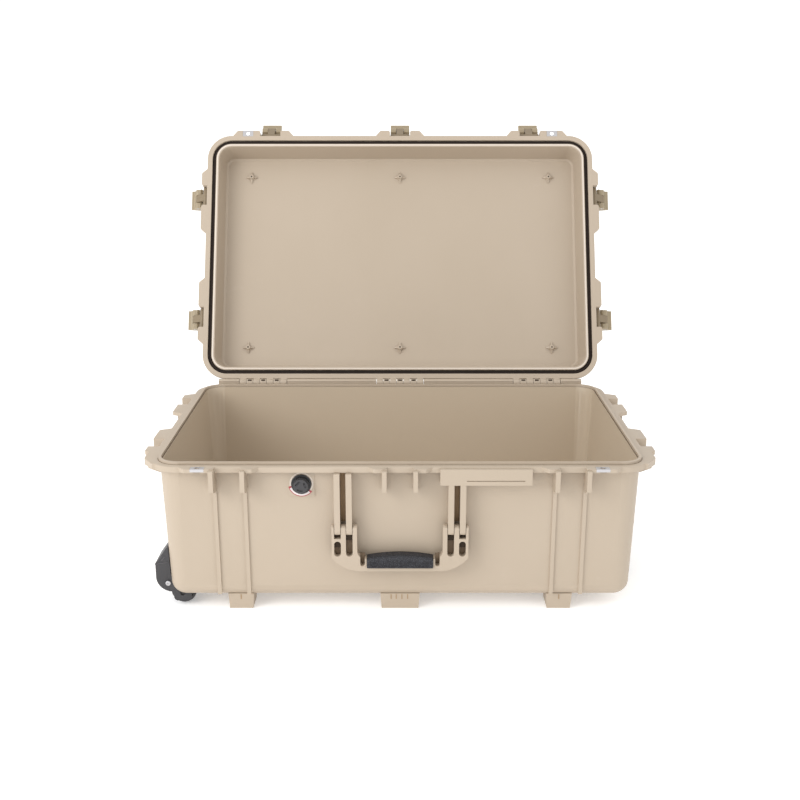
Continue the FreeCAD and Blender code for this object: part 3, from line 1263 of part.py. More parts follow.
def make_valve_seal():
    """Rubber ring between the valve's flange and the boss."""
    face = valve_face()
    ring = valve_rod(VALVE_SEAL_RADIUS, face + VALVE_SEAL_THICKNESS, face)
    return ring.cut(valve_rod(VALVE_STEM_RADIUS + VALVE_STEM_GAP, face + VALVE_SEAL_THICKNESS, face))


def make_valve_nut():
    """Nut on the valve's stem, inside the base."""
    z = PARTING_HEIGHT - VALVE_DROP
    seat = base_out(z - VALVE_NUT_RADIUS) - BASE_WALL - VALVE_NUT_GAP
    points = []
    for side in range(VALVE_NUT_SIDES):
        angle = 2 * math.pi * side / VALVE_NUT_SIDES
        points.append((VALVE_X + VALVE_NUT_RADIUS * math.cos(angle), -HALF_DEPTH - seat,
                       z + VALVE_NUT_RADIUS * math.sin(angle)))
    nut = prism(points, (0, VALVE_NUT_THICKNESS, 0))
    return nut.cut(valve_rod(VALVE_STEM_RADIUS + PIN_FIXED_GAP, seat + OVERRUN,
                             seat - VALVE_NUT_THICKNESS - OVERRUN))


# Assembly

def base_nodes():
    """Pieces that stay with the base."""
    base_shell = make_base_shell()
    for bore in guide_screw_bores():
        base_shell = base_shell.cut(bore)
    half = KNUCKLE_COUNT * KNUCKLE_PITCH / 2
    pin = rod(HINGE_PIN_RADIUS, (-half, HINGE_Y, HINGE_Z), (half, HINGE_Y, HINGE_Z))
    pins = [at_wall(pin, 0, place * HINGE_SPACING, 0, 0) for place in (-1, 0, 1)]
    plate = padlock_plate(-PADLOCK_PLATE_THICKNESS, 0, -PADLOCK_LIP, 0)
    housing = make_wheel_housing().cut(housing_screw_bore())
    screw = housing_screw()
    return {
        "base_shell": base_shell,
        "hinge_pins": Part.makeCompound(pins),
        "base_padlock_plates": Part.makeCompound(at_padlock(plate)),
        "front_handle_pins": at_wall(handle_pins(), 0, 0, -HALF_DEPTH, 0),
        "side_handle_pins": at_wall(handle_pins(), 90, HALF_LENGTH, 0, 0),
        "front_wheel_housing": housing,
        "rear_wheel_housing": mirrored_y(housing),
        "housing_screws": Part.makeCompound([screw, mirrored_y(screw)]),
        "front_wheel_axle": make_axle(),
        "rear_wheel_axle": mirrored_y(make_axle()),
        "pull_handle_guides": make_pull_guides(),
        "guide_screws": make_guide_screws(),
        "valve_body": make_valve_body(),
        "valve_seal": make_valve_seal(),
        "valve_nut": make_valve_nut()}


def moving_nodes():
    """Pieces that move on the base."""
    nodes = {
        "front_handle_frame": at_wall(make_handle(), 0, 0, -HALF_DEPTH, 0),
        "front_handle_grip": at_wall(make_handle_grip(), 0, 0, -HALF_DEPTH, 0),
        "side_handle_frame": at_wall(make_handle(), 90, HALF_LENGTH, 0, 0),
        "side_handle_grip": at_wall(make_handle_grip(), 90, HALF_LENGTH, 0, 0),
        "pull_handle_tubes": make_pull_tubes(),
        "pull_handle_grip": make_pull_grip(),
        "pull_handle_button": make_pull_button(),
        "valve_knob": make_valve_knob()}
    for piece, shape in (("tyre", make_tyre()), ("hub", make_hub()), ("bearings", make_bearings())):
        nodes["front_wheel_" + piece] = shape
        nodes["rear_wheel_" + piece] = mirrored_y(shape)
    return nodes


def lid_nodes():
    """Pieces that swing with the lid, swung open about the hinge."""
    plate_top = PARTING_GAP + PADLOCK_PLATE_THICKNESS
    plate = padlock_plate(PARTING_GAP, plate_top, PARTING_GAP, PADLOCK_LIP)
    end = SLOT_HALF + RIB_THICKNESS
    pin = wall_rod(CLAW_PIVOT, LATCH_PIN_RADIUS, -end, end)
    nodes = {
        "lid_shell": make_lid_shell(),
        "lid_gasket": make_lid_gasket(),
        "lid_padlock_plates": Part.makeCompound(at_padlock(plate)),
        "latch_pivot_pins": Part.makeCompound([at_station(pin, station) for station in STATIONS])}
    pieces = latch_pieces()
    for station in STATIONS:
        for piece, shape in pieces.items():
            nodes[station.name + "_" + piece] = at_station(shape, station)
    for shape in nodes.values():
        shape.rotate(Vector(0, HINGE_Y, HINGE_Z), Vector(-1, 0, 0), LID_OPEN_DEG)
    return nodes


def middle_offset(nodes):
    """Vector that brings the middle of the whole, in plan, over the origin."""
    whole = FreeCAD.BoundBox()
    for shape in nodes.values():
        whole.add(shape.BoundBox)
    return Vector(-whole.Center.x, -whole.Center.y, 0)


def export(nodes):
    """Write each node to its own file, and say what the whole measures."""
    os.makedirs("parts", exist_ok=True)
    for name, shape in nodes.items():
        shape.translate(OFFSET)
        shape.exportStep("parts/" + name + ".step")
    print("nodes", len(nodes))
    print("moved by", OFFSET)


NODES = {**base_nodes(), **moving_nodes(), **lid_nodes()}
OFFSET = middle_offset(NODES)
export(NODES)
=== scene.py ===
"""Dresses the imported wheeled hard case: finishes, rounded moulded edges, detail pieces, studio and camera.

Lengths are in metres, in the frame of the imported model: X to the right, Y to the rear, Z up.
"""

import json
import logging
import math
from abc import ABC, abstractmethod
from collections.abc import Callable, Iterable, Sequence
from dataclasses import dataclass, replace
from enum import Enum

import bmesh
import bpy
from mathutils import Matrix, Vector

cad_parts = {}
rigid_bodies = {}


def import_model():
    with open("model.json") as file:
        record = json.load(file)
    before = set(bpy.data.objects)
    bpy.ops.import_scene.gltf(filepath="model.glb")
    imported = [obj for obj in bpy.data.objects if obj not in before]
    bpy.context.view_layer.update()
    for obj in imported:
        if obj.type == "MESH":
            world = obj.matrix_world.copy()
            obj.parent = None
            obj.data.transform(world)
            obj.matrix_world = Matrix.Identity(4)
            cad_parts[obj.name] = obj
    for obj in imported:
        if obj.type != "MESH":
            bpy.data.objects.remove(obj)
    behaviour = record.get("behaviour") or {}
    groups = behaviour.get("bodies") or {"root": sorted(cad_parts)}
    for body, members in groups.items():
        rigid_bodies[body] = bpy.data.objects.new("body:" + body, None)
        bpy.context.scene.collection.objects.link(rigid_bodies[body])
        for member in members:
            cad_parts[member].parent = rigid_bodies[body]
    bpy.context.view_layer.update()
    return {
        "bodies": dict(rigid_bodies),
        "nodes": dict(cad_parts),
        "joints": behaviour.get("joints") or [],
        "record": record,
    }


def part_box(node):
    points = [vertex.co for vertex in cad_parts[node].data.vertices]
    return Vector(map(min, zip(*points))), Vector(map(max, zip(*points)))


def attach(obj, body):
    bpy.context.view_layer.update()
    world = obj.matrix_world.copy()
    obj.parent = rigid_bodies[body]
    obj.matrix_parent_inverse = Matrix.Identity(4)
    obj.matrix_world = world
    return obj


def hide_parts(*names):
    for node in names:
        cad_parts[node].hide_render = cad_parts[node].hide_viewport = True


Colour = tuple[float, float, float]
Place = tuple[float, float, float]
Pair = tuple[float, float]
Item = bmesh.types.BMFace | bmesh.types.BMEdge
Piece = bpy.types.Object
Tree = bpy.types.NodeTree
Node = bpy.types.Node
Socket = bpy.types.NodeSocket
LOG = logging.getLogger("hard_case")
MM = 0.001
ORIGIN: Place = (0.0, 0.0, 0.0)
WELD = 0.01 * MM
FLAT_ANGLE_DEG = 0.5
SHARP_ANGLE_DEG = 28.0
RIM_ANGLE_DEG = 50.0
SMOOTH_ANGLE_DEG = 32.0
SQUARE_ON = 0.9
HALF_ON = 0.5
CORNER_STEPS = 8
# The base's hold, whose inward-looking faces are painted lighter: painted light.
HOLD_HEIGHT = 135.0 * MM
HOLD_HALF: Place = (366.5 * MM, 229.5 * MM, 111.5 * MM)
# Numbers of a Mix node's colour sockets, whose names it also uses for numbers and vectors
MIX_FIRST = 6
MIX_SECOND = 7
MIX_RESULT = 2


class Slot(str, Enum):
    """The record's material slots."""

    CASE = "case_plastic"
    LATCH = "latch_plastic"
    BLACK = "black_plastic"
    HUB = "hub_plastic"
    SEAL = "seal_rubber"
    GRIP = "grip_rubber"
    TYRE = "wheel_tyre"
    STEEL = "steel"
    TUBE = "tube_aluminium"


class Print(str, Enum):
    """The two colours of the bare label under the valve."""

    WHITE = "label_white"
    RED = "label_red"


class Shade(str, Enum):
    """Finishes of single pieces that differ from their slot's: painted shade in recesses and on the claws, a
    painted highlight on lips, and the valve body's and axles' own colours.
    """

    DEEP = "deep_recess"
    CHANNEL = "channel_recess"
    BROWN = "brown_recess"
    LIP = "lip_painted_highlight"
    CLAW = "latch_claw"
    JET = "jet_moulding"
    AXLE = "blackened_steel"


Key = Slot | Print | Shade


# What the record says


def joint_row(frame: dict, name: str) -> dict:
    """Finds a joint's row in the record."""
    return next(row for row in frame["record"]["behaviour"]["joints"] if row["name"] == name)


def joint_place(frame: dict, name: str) -> Vector:
    """Finds a point on a joint's axis."""
    return Vector(joint_row(frame, name)["pos_m"])


def base_middle(frame: dict) -> float:
    """Finds Y of the base's middle, where the end handle's joint is."""
    return joint_place(frame, "side_handle_fold").y


# Shared shader effects


def add_node(tree: Tree, kind: str, values: dict[str | int, object] | None = None,
             **settings: object) -> Node:
    """Adds a node and sets its properties and its sockets' values.

    Args:
        tree: The node tree that gets the node.
        kind: Blender's name for the kind of node, without the part that all share.
        values: Values of input sockets, by the socket's name or number.
        settings: Properties of the node, by name.

    Returns:
        The new node.
    """
    node = tree.nodes.new("ShaderNode" + kind)
    for key, value in settings.items():
        setattr(node, key, value)
    for socket, value in (values or {}).items():
        node.inputs[socket].default_value = value
    return node


def add_math(tree: Tree, operation: str, second: float = 0.0, clamp: bool = False) -> Node:
    """Adds a Math node, with its second value where no link gives it."""
    return add_node(tree, "Math", {1: second}, operation=operation, use_clamp=clamp)


def add_range(tree: Tree, start: Pair, end: Pair = (0.0, 1.0)) -> Node:
    """Adds a Map Range node that spreads the range at the start over the one at the end."""
    labels = ("From Min", "From Max", "To Min", "To Max")
    return add_node(tree, "MapRange", dict(zip(labels, (*start, *end))))


def object_place(tree: Tree) -> Socket:
    """Adds a Texture Coordinate node and gives its Object socket."""
    return add_node(tree, "TexCoord").outputs["Object"]


def chain(tree: Tree, start: Socket, *nodes: Node) -> None:
    """Links a socket to the first node, and each node's first output to the next node's first input.

    Args:
        tree: The nodes' tree.
        start: The socket at the start.
        nodes: The nodes, in order.
    """
    for node in nodes:
        tree.links.new(start, node.inputs[0])
        start = next(iter(node.outputs), None)


def new_group(name: str, inputs: dict[str, float]) -> Tree:
    """Makes an empty shader node group with number sockets and a Mask output.

    Args:
        name: The group's name.
        inputs: Input sockets with their usual values.

    Returns:
        The group, with its input and output nodes in place.
    """
    group = bpy.data.node_groups.new(name, "ShaderNodeTree")
    for label, value in inputs.items():
        socket = group.interface.new_socket(name=label, in_out="INPUT", socket_type="NodeSocketFloat")
        socket.default_value = value
    group.interface.new_socket(name="Mask", in_out="OUTPUT", socket_type="NodeSocketFloat")
    group.nodes.new("NodeGroupInput").name = "in"
    group.nodes.new("NodeGroupOutput").name = "out"
    return group


class Effects:
    """Shader effects of the finishes, each built once as a group that puts out a mask."""

    def __init__(self, middle: float) -> None:
        """Builds the five groups.

        Args:
            middle: Y of the base's middle.
        """
        self.grain = self._noise_group("moulded_grain", 900.0, detail=4.0, rough=0.62)
        self.drift = self._noise_group("colour_drift", 5.0, detail=3.0, rough=0.55, flat=0.5)
        self.scuff = self._scuff_group()
        self.nubs = self._nub_group()
        self.hold = self._hold_group(middle)

    @staticmethod
    def _noise_group(name: str, scale: float, detail: float, rough: float, flat: float = 1.0) -> Tree:
        """Builds a group of one noise on Object coordinates.

        Args:
            name: The group's name.
            scale: Usual value of the Scale input, in features per metre.
            detail: Octaves of the noise.
            rough: How strong the finer octaves are.
            flat: Scale of the pattern along Z.

        Returns:
            The group, with Scale and Contrast inputs.
        """
        group = new_group(name, {"Scale": scale, "Contrast": 1.0})
        start = group.nodes["in"]
        turn = add_node(group, "Mapping", {"Scale": (1.0, 1.0, flat)})
        noise = add_node(group, "TexNoise", {"Detail": detail, "Roughness": rough})
        gain = add_math(group, "MULTIPLY")
        chain(group, object_place(group), turn, noise, add_math(group, "SUBTRACT", 0.5), gain,
              add_math(group, "ADD", 0.5, clamp=True), group.nodes["out"])
        group.links.new(start.outputs["Scale"], noise.inputs["Scale"])
        group.links.new(start.outputs["Contrast"], gain.inputs[1])
        return group

    @staticmethod
    def _scuff_group() -> Tree:
        """Builds a group that marks sparse, fine rub marks.

        Returns:
            The group, with Scale and Amount inputs.
        """
        group = new_group("rub_marks", {"Scale": 60.0, "Amount": 0.3})
        start = group.nodes["in"]
        place = object_place(group)
        turn = add_node(group, "Mapping", {"Rotation": (0.3, 0.5, 0.4), "Scale": (1.0, 0.12, 1.0)})
        fine = add_node(group, "TexNoise", {"Detail": 6.0})
        patch = add_node(group, "TexNoise", {"Scale": 7.0})
        where = add_range(group, (0.50, 0.66))
        both = add_math(group, "MULTIPLY")
        amount = add_math(group, "MULTIPLY", clamp=True)
        chain(group, place, turn, fine, add_range(group, (0.60, 0.72)), both, amount, group.nodes["out"])
        chain(group, place, patch, where)
        group.links.new(where.outputs[0], both.inputs[1])
        group.links.new(start.outputs["Scale"], fine.inputs["Scale"])
        group.links.new(start.outputs["Amount"], amount.inputs[1])
        return group

    @staticmethod
    def _nub_group() -> Tree:
        """Builds a group that marks the tops of small round nubs.

        Returns:
            The group, with a Scale input.
        """
        group = new_group("rubber_nubs", {"Scale": 500.0})
        cells = add_node(group, "TexVoronoi", {"Randomness": 0.75}, feature="F1")
        chain(group, object_place(group), cells, add_range(group, (0.50, 0.12)), group.nodes["out"])
        group.links.new(group.nodes["in"].outputs["Scale"], cells.inputs["Scale"])
        return group

    @staticmethod
    def _hold_group(middle: float) -> Tree:
        """Builds a group that marks the faces that look into the base's hold, where the case's finish paints
        light.

        Args:
            middle: Y of the base's middle.

        Returns:
            The group, with an Amount input.
        """
        group = new_group("hold_faces", {"Amount": 0.5})
        links = group.links
        place = add_node(group, "TexCoord")
        away = add_node(group, "VectorMath", {1: (0.0, middle, HOLD_HEIGHT)}, operation="SUBTRACT")
        facing = add_node(group, "VectorMath", operation="DOT_PRODUCT")
        inward = add_math(group, "LESS_THAN", 0.0)
        reach = add_node(group, "VectorMath", operation="ABSOLUTE")
        spread = add_node(group, "VectorMath", {1: HOLD_HALF}, operation="DIVIDE")
        axes = add_node(group, "SeparateXYZ")
        across = add_math(group, "MAXIMUM")
        widest = add_math(group, "MAXIMUM")
        within = add_math(group, "LESS_THAN", 1.0)
        both = add_math(group, "MULTIPLY")
        amount = add_math(group, "MULTIPLY")
        chain(group, place.outputs["Object"], away, reach, spread, axes, across, widest, within, both, amount,
              group.nodes["out"])
        chain(group, away.outputs["Vector"], facing)
        chain(group, facing.outputs["Value"], inward)
        links.new(place.outputs["Normal"], facing.inputs[1])
        links.new(axes.outputs["Y"], across.inputs[1])
        links.new(axes.outputs["Z"], widest.inputs[1])
        links.new(inward.outputs[0], both.inputs[1])
        links.new(group.nodes["in"].outputs["Amount"], amount.inputs[1])
        return group


# Finishes


@dataclass(frozen=True)
class Finish:
    """One surface finish: its colours, its shine, and how strong each shared effect is on it."""

    name: str
    colour: Colour
    shade: Colour
    rub: Colour
    rough_low: float
    rough_high: float
    metallic: float = 0.0
    specular: float = 0.5
    # A rounded edge's colour is this much lighter, as a painted highlight; below zero it is darker, as a
    # painted shade.
    edge_painted_light: float = 0.0
    edge_smooth: float = 0.9
    grain_scale: float = 900.0
    grain_contrast: float = 1.5
    grain_depth: float = 0.00006
    grain_strength: float = 0.35
    drift_scale: float = 5.0
    drift_contrast: float = 1.6
    rub_scale: float = 60.0
    rub_amount: float = 0.3
    nub_scale: float = 0.0
    nub_depth: float = 0.0004
    nub_strength: float = 0.8
    nub_tint: float = 0.5
    # Lighter colour on faces inside the base's hold, and how much of it: painted light.
    painted_hold_light: Colour | None = None
    painted_hold_light_amount: float = 0.6

    def edge(self) -> "Finish":
        """Gives the same finish on a rounded edge: smoother, and lighter by a painted highlight, or darker by
        a painted shade where the painted edge light is below zero.
        """
        lift = 1.0 + self.edge_painted_light
        return replace(self, name=self.name + "_edge", colour=tuple(part * lift for part in self.colour),
                       shade=tuple(part * lift for part in self.shade),
                       rough_low=self.edge_smooth * self.rough_low,
                       rough_high=self.edge_smooth * self.rough_high, painted_hold_light=None)

    def material(self, effects: Effects) -> bpy.types.Material:
        """Builds the finish's material.

        Args:
            effects: The shared shader effects.

        Returns:
            The new material.
        """
        made = bpy.data.materials.new(self.name)
        made.use_nodes = True
        made.diffuse_color = (*self.colour, 1.0)
        tree = made.node_tree
        shader = tree.nodes["Principled BSDF"]
        shader.inputs["Metallic"].default_value = self.metallic
        shader.inputs["Specular IOR Level"].default_value = self.specular
        grain = self._mask(tree, effects.grain, Scale=self.grain_scale, Contrast=self.grain_contrast)
        shine = add_range(tree, (0.0, 1.0), (self.rough_low, self.rough_high))
        chain(tree, grain, shine)
        tree.links.new(shine.outputs[0], shader.inputs["Roughness"])
        bump = self._bump(tree, grain, self.grain_strength, self.grain_depth)
        tree.links.new(bump.outputs["Normal"], shader.inputs["Normal"])
        drift = self._mask(tree, effects.drift, Scale=self.drift_scale, Contrast=self.drift_contrast)
        scuff = self._mask(tree, effects.scuff, Scale=self.rub_scale, Amount=self.rub_amount)
        layers = [(self.shade, drift), (self.rub, scuff)]
        if self.nub_scale:
            nubs = self._mask(tree, effects.nubs, Scale=self.nub_scale)
            relief = self._bump(tree, nubs, self.nub_strength, self.nub_depth)
            tree.links.new(relief.outputs["Normal"], bump.inputs["Normal"])
            share = add_math(tree, "MULTIPLY", self.nub_tint)
            chain(tree, nubs, share)
            layers.append((self.rub, share.outputs[0]))
        # Faces inside the base's hold get the lighter colour: painted light.
        if self.painted_hold_light:
            layers.append((self.painted_hold_light, self._mask(tree, effects.hold, Amount=self.painted_hold_light_amount)))
        surface = None
        for colour, mask in layers:
            mix = add_node(tree, "Mix", {MIX_FIRST: (*self.colour, 1.0), MIX_SECOND: (*colour, 1.0)},
                           data_type="RGBA")
            chain(tree, mask, mix)
            if surface is not None:
                tree.links.new(surface, mix.inputs[MIX_FIRST])
            surface = mix.outputs[MIX_RESULT]
        tree.links.new(surface, shader.inputs["Base Color"])
        return made

    @staticmethod
    def _mask(tree: Tree, group: Tree, **values: float) -> Socket:
        """Places a shared effect in a material with its own values and gives its mask."""
        return add_node(tree, "Group", values, node_tree=group).outputs["Mask"]

    @staticmethod
    def _bump(tree: Tree, height: Socket, strength: float, depth: float) -> Node:
        """Adds a relief.

        Args:
            tree: The material's node tree.
            height: The socket that gives the relief's height.
            strength: How much of it shows.
            depth: Its depth.

        Returns:
            The Bump node.
        """
        node = add_node(tree, "Bump", {"Strength": strength, "Distance": depth})
        tree.links.new(height, node.inputs["Height"])
        return node


FINISHES: dict[Key, Finish] = {
    # The lighter colour for faces inside the base's hold is painted light.
    Slot.CASE: Finish(
        "tan_moulding", (0.452, 0.374, 0.290), (0.424, 0.348, 0.264), (0.53, 0.46, 0.38), 0.42, 0.58,
        edge_painted_light=0.24, grain_scale=1100.0, rub_amount=0.10, painted_hold_light=(0.524, 0.434, 0.322)),
    Slot.LATCH: Finish(
        "tan_latch", (0.340, 0.274, 0.180), (0.290, 0.232, 0.146), (0.50, 0.43, 0.33), 0.36, 0.50,
        edge_painted_light=0.60, grain_scale=1400.0, rub_amount=0.14),
    Slot.BLACK: Finish(
        "charcoal_moulding", (0.042, 0.040, 0.043), (0.030, 0.029, 0.031), (0.11, 0.105, 0.11), 0.42, 0.60,
        edge_painted_light=0.80, grain_scale=1000.0, rub_amount=0.35),
    Slot.HUB: Finish(
        "hub_moulding", (0.058, 0.058, 0.061), (0.046, 0.046, 0.048), (0.14, 0.14, 0.14), 0.40, 0.55,
        edge_painted_light=0.30, rub_amount=0.25),
    Slot.SEAL: Finish(
        "seal_rubber", (0.016, 0.010, 0.007), (0.022, 0.014, 0.010), (0.04, 0.035, 0.03), 0.60, 0.80,
        specular=0.22, grain_scale=1600.0, rub_amount=0.05),
    Slot.GRIP: Finish(
        "grip_rubber", (0.013, 0.013, 0.016), (0.021, 0.021, 0.025), (0.15, 0.155, 0.18), 0.50, 0.70,
        edge_painted_light=0.30, grain_scale=1300.0, grain_depth=0.00016, grain_strength=0.6, rub_amount=0.30,
        specular=0.35, nub_scale=520.0, nub_tint=0.38),
    Slot.TYRE: Finish(
        "tyre_rubber", (0.040, 0.038, 0.041), (0.054, 0.052, 0.054), (0.16, 0.155, 0.15), 0.50, 0.70,
        grain_scale=900.0, grain_depth=0.00012, rub_amount=0.40, nub_scale=900.0, nub_depth=0.0001,
        nub_tint=0.12),
    # Steel's rounded edges are painted darker: painted shade.
    Slot.STEEL: Finish(
        "stainless_steel", (0.56, 0.55, 0.56), (0.48, 0.47, 0.48), (0.70, 0.70, 0.71), 0.26, 0.42,
        metallic=1.0, edge_painted_light=-0.55, grain_scale=2400.0, grain_depth=0.00002, rub_amount=0.25),
    Slot.TUBE: Finish(
        "satin_aluminium", (0.66, 0.66, 0.68), (0.60, 0.60, 0.62), (0.80, 0.80, 0.81), 0.26, 0.40,
        metallic=1.0, edge_painted_light=0.10, grain_scale=2400.0, grain_depth=0.00002, rub_amount=0.25),
    Print.WHITE: Finish(
        "label_film", (0.74, 0.68, 0.66), (0.68, 0.60, 0.58), (0.60, 0.50, 0.48), 0.34, 0.46,
        grain_scale=2000.0, grain_depth=0.00002, rub_amount=0.25),
    Print.RED: Finish(
        "label_edge", (0.40, 0.05, 0.06), (0.33, 0.04, 0.05), (0.48, 0.22, 0.20), 0.34, 0.46,
        grain_scale=2000.0, grain_depth=0.00002, rub_amount=0.25),
    # Dark, brown and tan finishes of plates put in recesses: painted shade.
    Shade.DEEP: Finish(
        "recess_shadow", (0.050, 0.034, 0.022), (0.034, 0.023, 0.015), (0.10, 0.075, 0.05), 0.60, 0.78,
        specular=0.2, grain_scale=900.0, rub_amount=0.15),
    Shade.CHANNEL: Finish(
        "channel_painted_shade", (0.190, 0.136, 0.090), (0.140, 0.098, 0.062), (0.28, 0.21, 0.14), 0.55, 0.72,
        specular=0.3, grain_scale=900.0, rub_amount=0.15),
    Shade.BROWN: Finish(
        "tan_painted_shade", (0.400, 0.276, 0.166), (0.320, 0.216, 0.126), (0.44, 0.32, 0.21), 0.55, 0.72,
        specular=0.3, grain_scale=900.0, rub_amount=0.15),
    # Pale finish of the lid's lip bead and the valve's collar: painted highlight.
    Shade.LIP: Finish(
        "lip_painted_highlight", (0.680, 0.600, 0.520), (0.640, 0.560, 0.480), (0.74, 0.68, 0.60), 0.30, 0.42,
        grain_scale=1100.0, grain_depth=0.00003, rub_amount=0.10),
    # Darker than the latch levers' finish: painted shade on the claws.
    Shade.CLAW: Finish(
        "tan_claw", (0.225, 0.170, 0.104), (0.185, 0.138, 0.082), (0.40, 0.33, 0.24), 0.40, 0.54,
        edge_painted_light=0.40, grain_scale=1400.0, rub_amount=0.14),
    Shade.JET: Finish(
        "jet_moulding", (0.016, 0.016, 0.018), (0.011, 0.011, 0.012), (0.06, 0.06, 0.06), 0.40, 0.56,
        edge_painted_light=0.60, grain_scale=1000.0, rub_amount=0.25),
    Shade.AXLE: Finish(
        "blackened_steel", (0.060, 0.058, 0.058), (0.045, 0.043, 0.043), (0.16, 0.16, 0.16), 0.36, 0.50,
        metallic=0.6, edge_painted_light=0.20, grain_scale=2000.0, grain_depth=0.00002, rub_amount=0.25),
}


class Paints:
    """Every finish's material, and the one of its rounded edges, which carries a painted highlight (a painted
    shade on steel).
    """

    def __init__(self, effects: Effects) -> None:
        """Builds the materials."""
        self.face = {key: finish.material(effects) for key, finish in FINISHES.items()}
        self.edge = {key: finish.edge().material(effects)
                     for key, finish in FINISHES.items() if finish.edge_painted_light}


# Bench: operators that the pieces share


def add_bevel(piece: Piece, width: float, angle_deg: float, segments: int = 2) -> bpy.types.BevelModifier:
    """Adds a modifier that rounds a piece's sharp edges.

    Args:
        piece: The piece.
        width: Width of the rounding.
        angle_deg: Edges sharper than this are rounded.
        segments: Steps of the rounding.

    Returns:
        The modifier.
    """
    edge = piece.modifiers.new("edges", "BEVEL")
    edge.width = width
    edge.segments = segments
    edge.limit_method = "ANGLE"
    edge.angle_limit = math.radians(angle_deg)
    return edge


def deselect_all() -> None:
    """Clears the selection, so that an operator meets only what is added next."""
    bpy.ops.object.select_all(action="DESELECT")


def activate(piece: Piece) -> None:
    """Selects a piece alone and makes it the active one.

    Args:
        piece: The piece.
    """
    deselect_all()
    piece.select_set(True)
    bpy.context.view_layer.objects.active = piece


def settled() -> Piece:
    """Applies a new primitive's place, turn and size to its mesh and gives the primitive."""
    bpy.ops.object.transform_apply(location=True, rotation=True, scale=True)
    return bpy.context.object


def edit(piece: Piece) -> None:
    """Opens a piece alone in edit mode, with all of it selected.

    Args:
        piece: The piece.
    """
    activate(piece)
    bpy.ops.object.mode_set(mode="EDIT")
    bpy.ops.mesh.select_mode(type="FACE")
    bpy.ops.mesh.select_all(action="SELECT")


def close() -> None:
    """Goes back to object mode."""
    bpy.ops.object.mode_set(mode="OBJECT")


def turn_normals_out() -> None:
    """Turns all normals of the piece in edit mode outwards."""
    bpy.ops.mesh.select_all(action="SELECT")
    bpy.ops.mesh.normals_make_consistent(inside=False)


def pick(piece: Piece, kind: str, test: Callable[[Item], bool]) -> None:
    """Selects faces or edges of a piece in edit mode.

    Args:
        piece: The piece.
        kind: FACE or EDGE.
        test: Says whether a face or an edge is wanted.
    """
    bpy.ops.mesh.select_mode(type=kind)
    bpy.ops.mesh.select_all(action="DESELECT")
    mesh = bmesh.from_edit_mesh(piece.data)
    for item in mesh.faces if kind == "FACE" else mesh.edges:
        item.select_set(test(item))
    mesh.select_flush_mode()
    bmesh.update_edit_mesh(piece.data)


def rounded_bar(size: Place, place: Place, radius: float, segments: int = 2) -> Piece:
    """Makes a bar with rounded edges.

    Args:
        size: Its length along each axis.
        place: Its middle.
        radius: Radius of its edges.
        segments: Steps of the rounding.

    Returns:
        The bar, with its place in its mesh.
    """
    deselect_all()
    bpy.ops.mesh.primitive_cube_add(size=1.0, location=place)
    bpy.context.object.scale = size
    bar = settled()
    edit(bar)
    bpy.ops.mesh.bevel(offset=radius, segments=segments, affect="EDGES")
    close()
    return bar


def round_block(radius: float, depth: float, place: Place, sides: int, turn: Place) -> Piece:
    """Makes a round block.

    Args:
        radius: Its radius.
        depth: Its length along its axis.
        place: Its middle.
        sides: Number of its sides.
        turn: How its axis is turned from Z.

    Returns:
        The block, with its place in its mesh.
    """
    deselect_all()
    bpy.ops.mesh.primitive_cylinder_add(vertices=sides, radius=radius, depth=depth, location=place,
                                        rotation=turn)
    return settled()


def upright_disc(radius: float, depth: float, place: Place, sides: int) -> Piece:
    """Makes a round block with its axis along Y."""
    return round_block(radius, depth, place, sides, (math.pi / 2, 0.0, 0.0))


def shift(x: float, y: float, z: float) -> Matrix:
    """Gives a move along the three axes."""
    return Matrix.Translation((x, y, z))


def turned(degrees: float, axis: str) -> Matrix:
    """Gives a turn about one of the axes."""
    return Matrix.Rotation(math.radians(degrees), 4, axis)


def show(made: Piece) -> Piece:
    """Puts a new object in the scene."""
    bpy.context.scene.collection.objects.link(made)
    return made


def copies(piece: Piece, moves: Iterable[Matrix]) -> list[Piece]:
    """Copies a piece to several places and removes the first one.

    Args:
        piece: The piece.
        moves: Each copy's move, within its own mesh.

    Returns:
        The copies.
    """
    made = []
    for move in moves:
        copy = show(bpy.data.objects.new(piece.name, piece.data.copy()))
        copy.data.transform(move)
        made.append(copy)
    bpy.data.objects.remove(piece)
    return made


def joined(pieces: Sequence[Piece]) -> Piece:
    """Joins several pieces into the first.

    Args:
        pieces: The pieces.

    Returns:
        The first piece.
    """
    activate(pieces[0])
    for piece in pieces:
        piece.select_set(True)
    if len(pieces) > 1:
        bpy.ops.object.join()
    return pieces[0]


def apply(piece: Piece, modifier: bpy.types.Modifier) -> None:
    """Makes a modifier's work on a piece permanent."""
    activate(piece)
    bpy.ops.object.modifier_apply(modifier=modifier.name)


def cut_away(piece: Piece, tool: Piece) -> None:
    """Cuts a tool's form out of a piece and removes the tool.

    Args:
        piece: The piece.
        tool: The tool.
    """
    cut = piece.modifiers.new("cut", "BOOLEAN")
    cut.operation = "DIFFERENCE"
    cut.solver = "EXACT"
    cut.object = tool
    apply(piece, cut)
    bpy.data.objects.remove(tool)


def soften(piece: Piece, width: float, angle_deg: float = SHARP_ANGLE_DEG, segments: int = 2) -> None:
    """Rounds a piece's sharp edges for good, by a modifier that add_bevel() makes."""
    apply(piece, add_bevel(piece, width, angle_deg, segments))


def merged_copy(frame: dict, node: str) -> Piece:
    """Copies a CAD node's mesh and merges its loose triangles into whole faces.

    Args:
        node: The CAD node.

    Returns:
        The copy.
    """
    made = show(bpy.data.objects.new(node + "_copy", frame["nodes"][node].data.copy()))
    edit(made)
    bpy.ops.mesh.remove_doubles(threshold=WELD)
    bpy.ops.mesh.dissolve_limited(angle_limit=math.radians(FLAT_ANGLE_DEG))
    close()
    return made


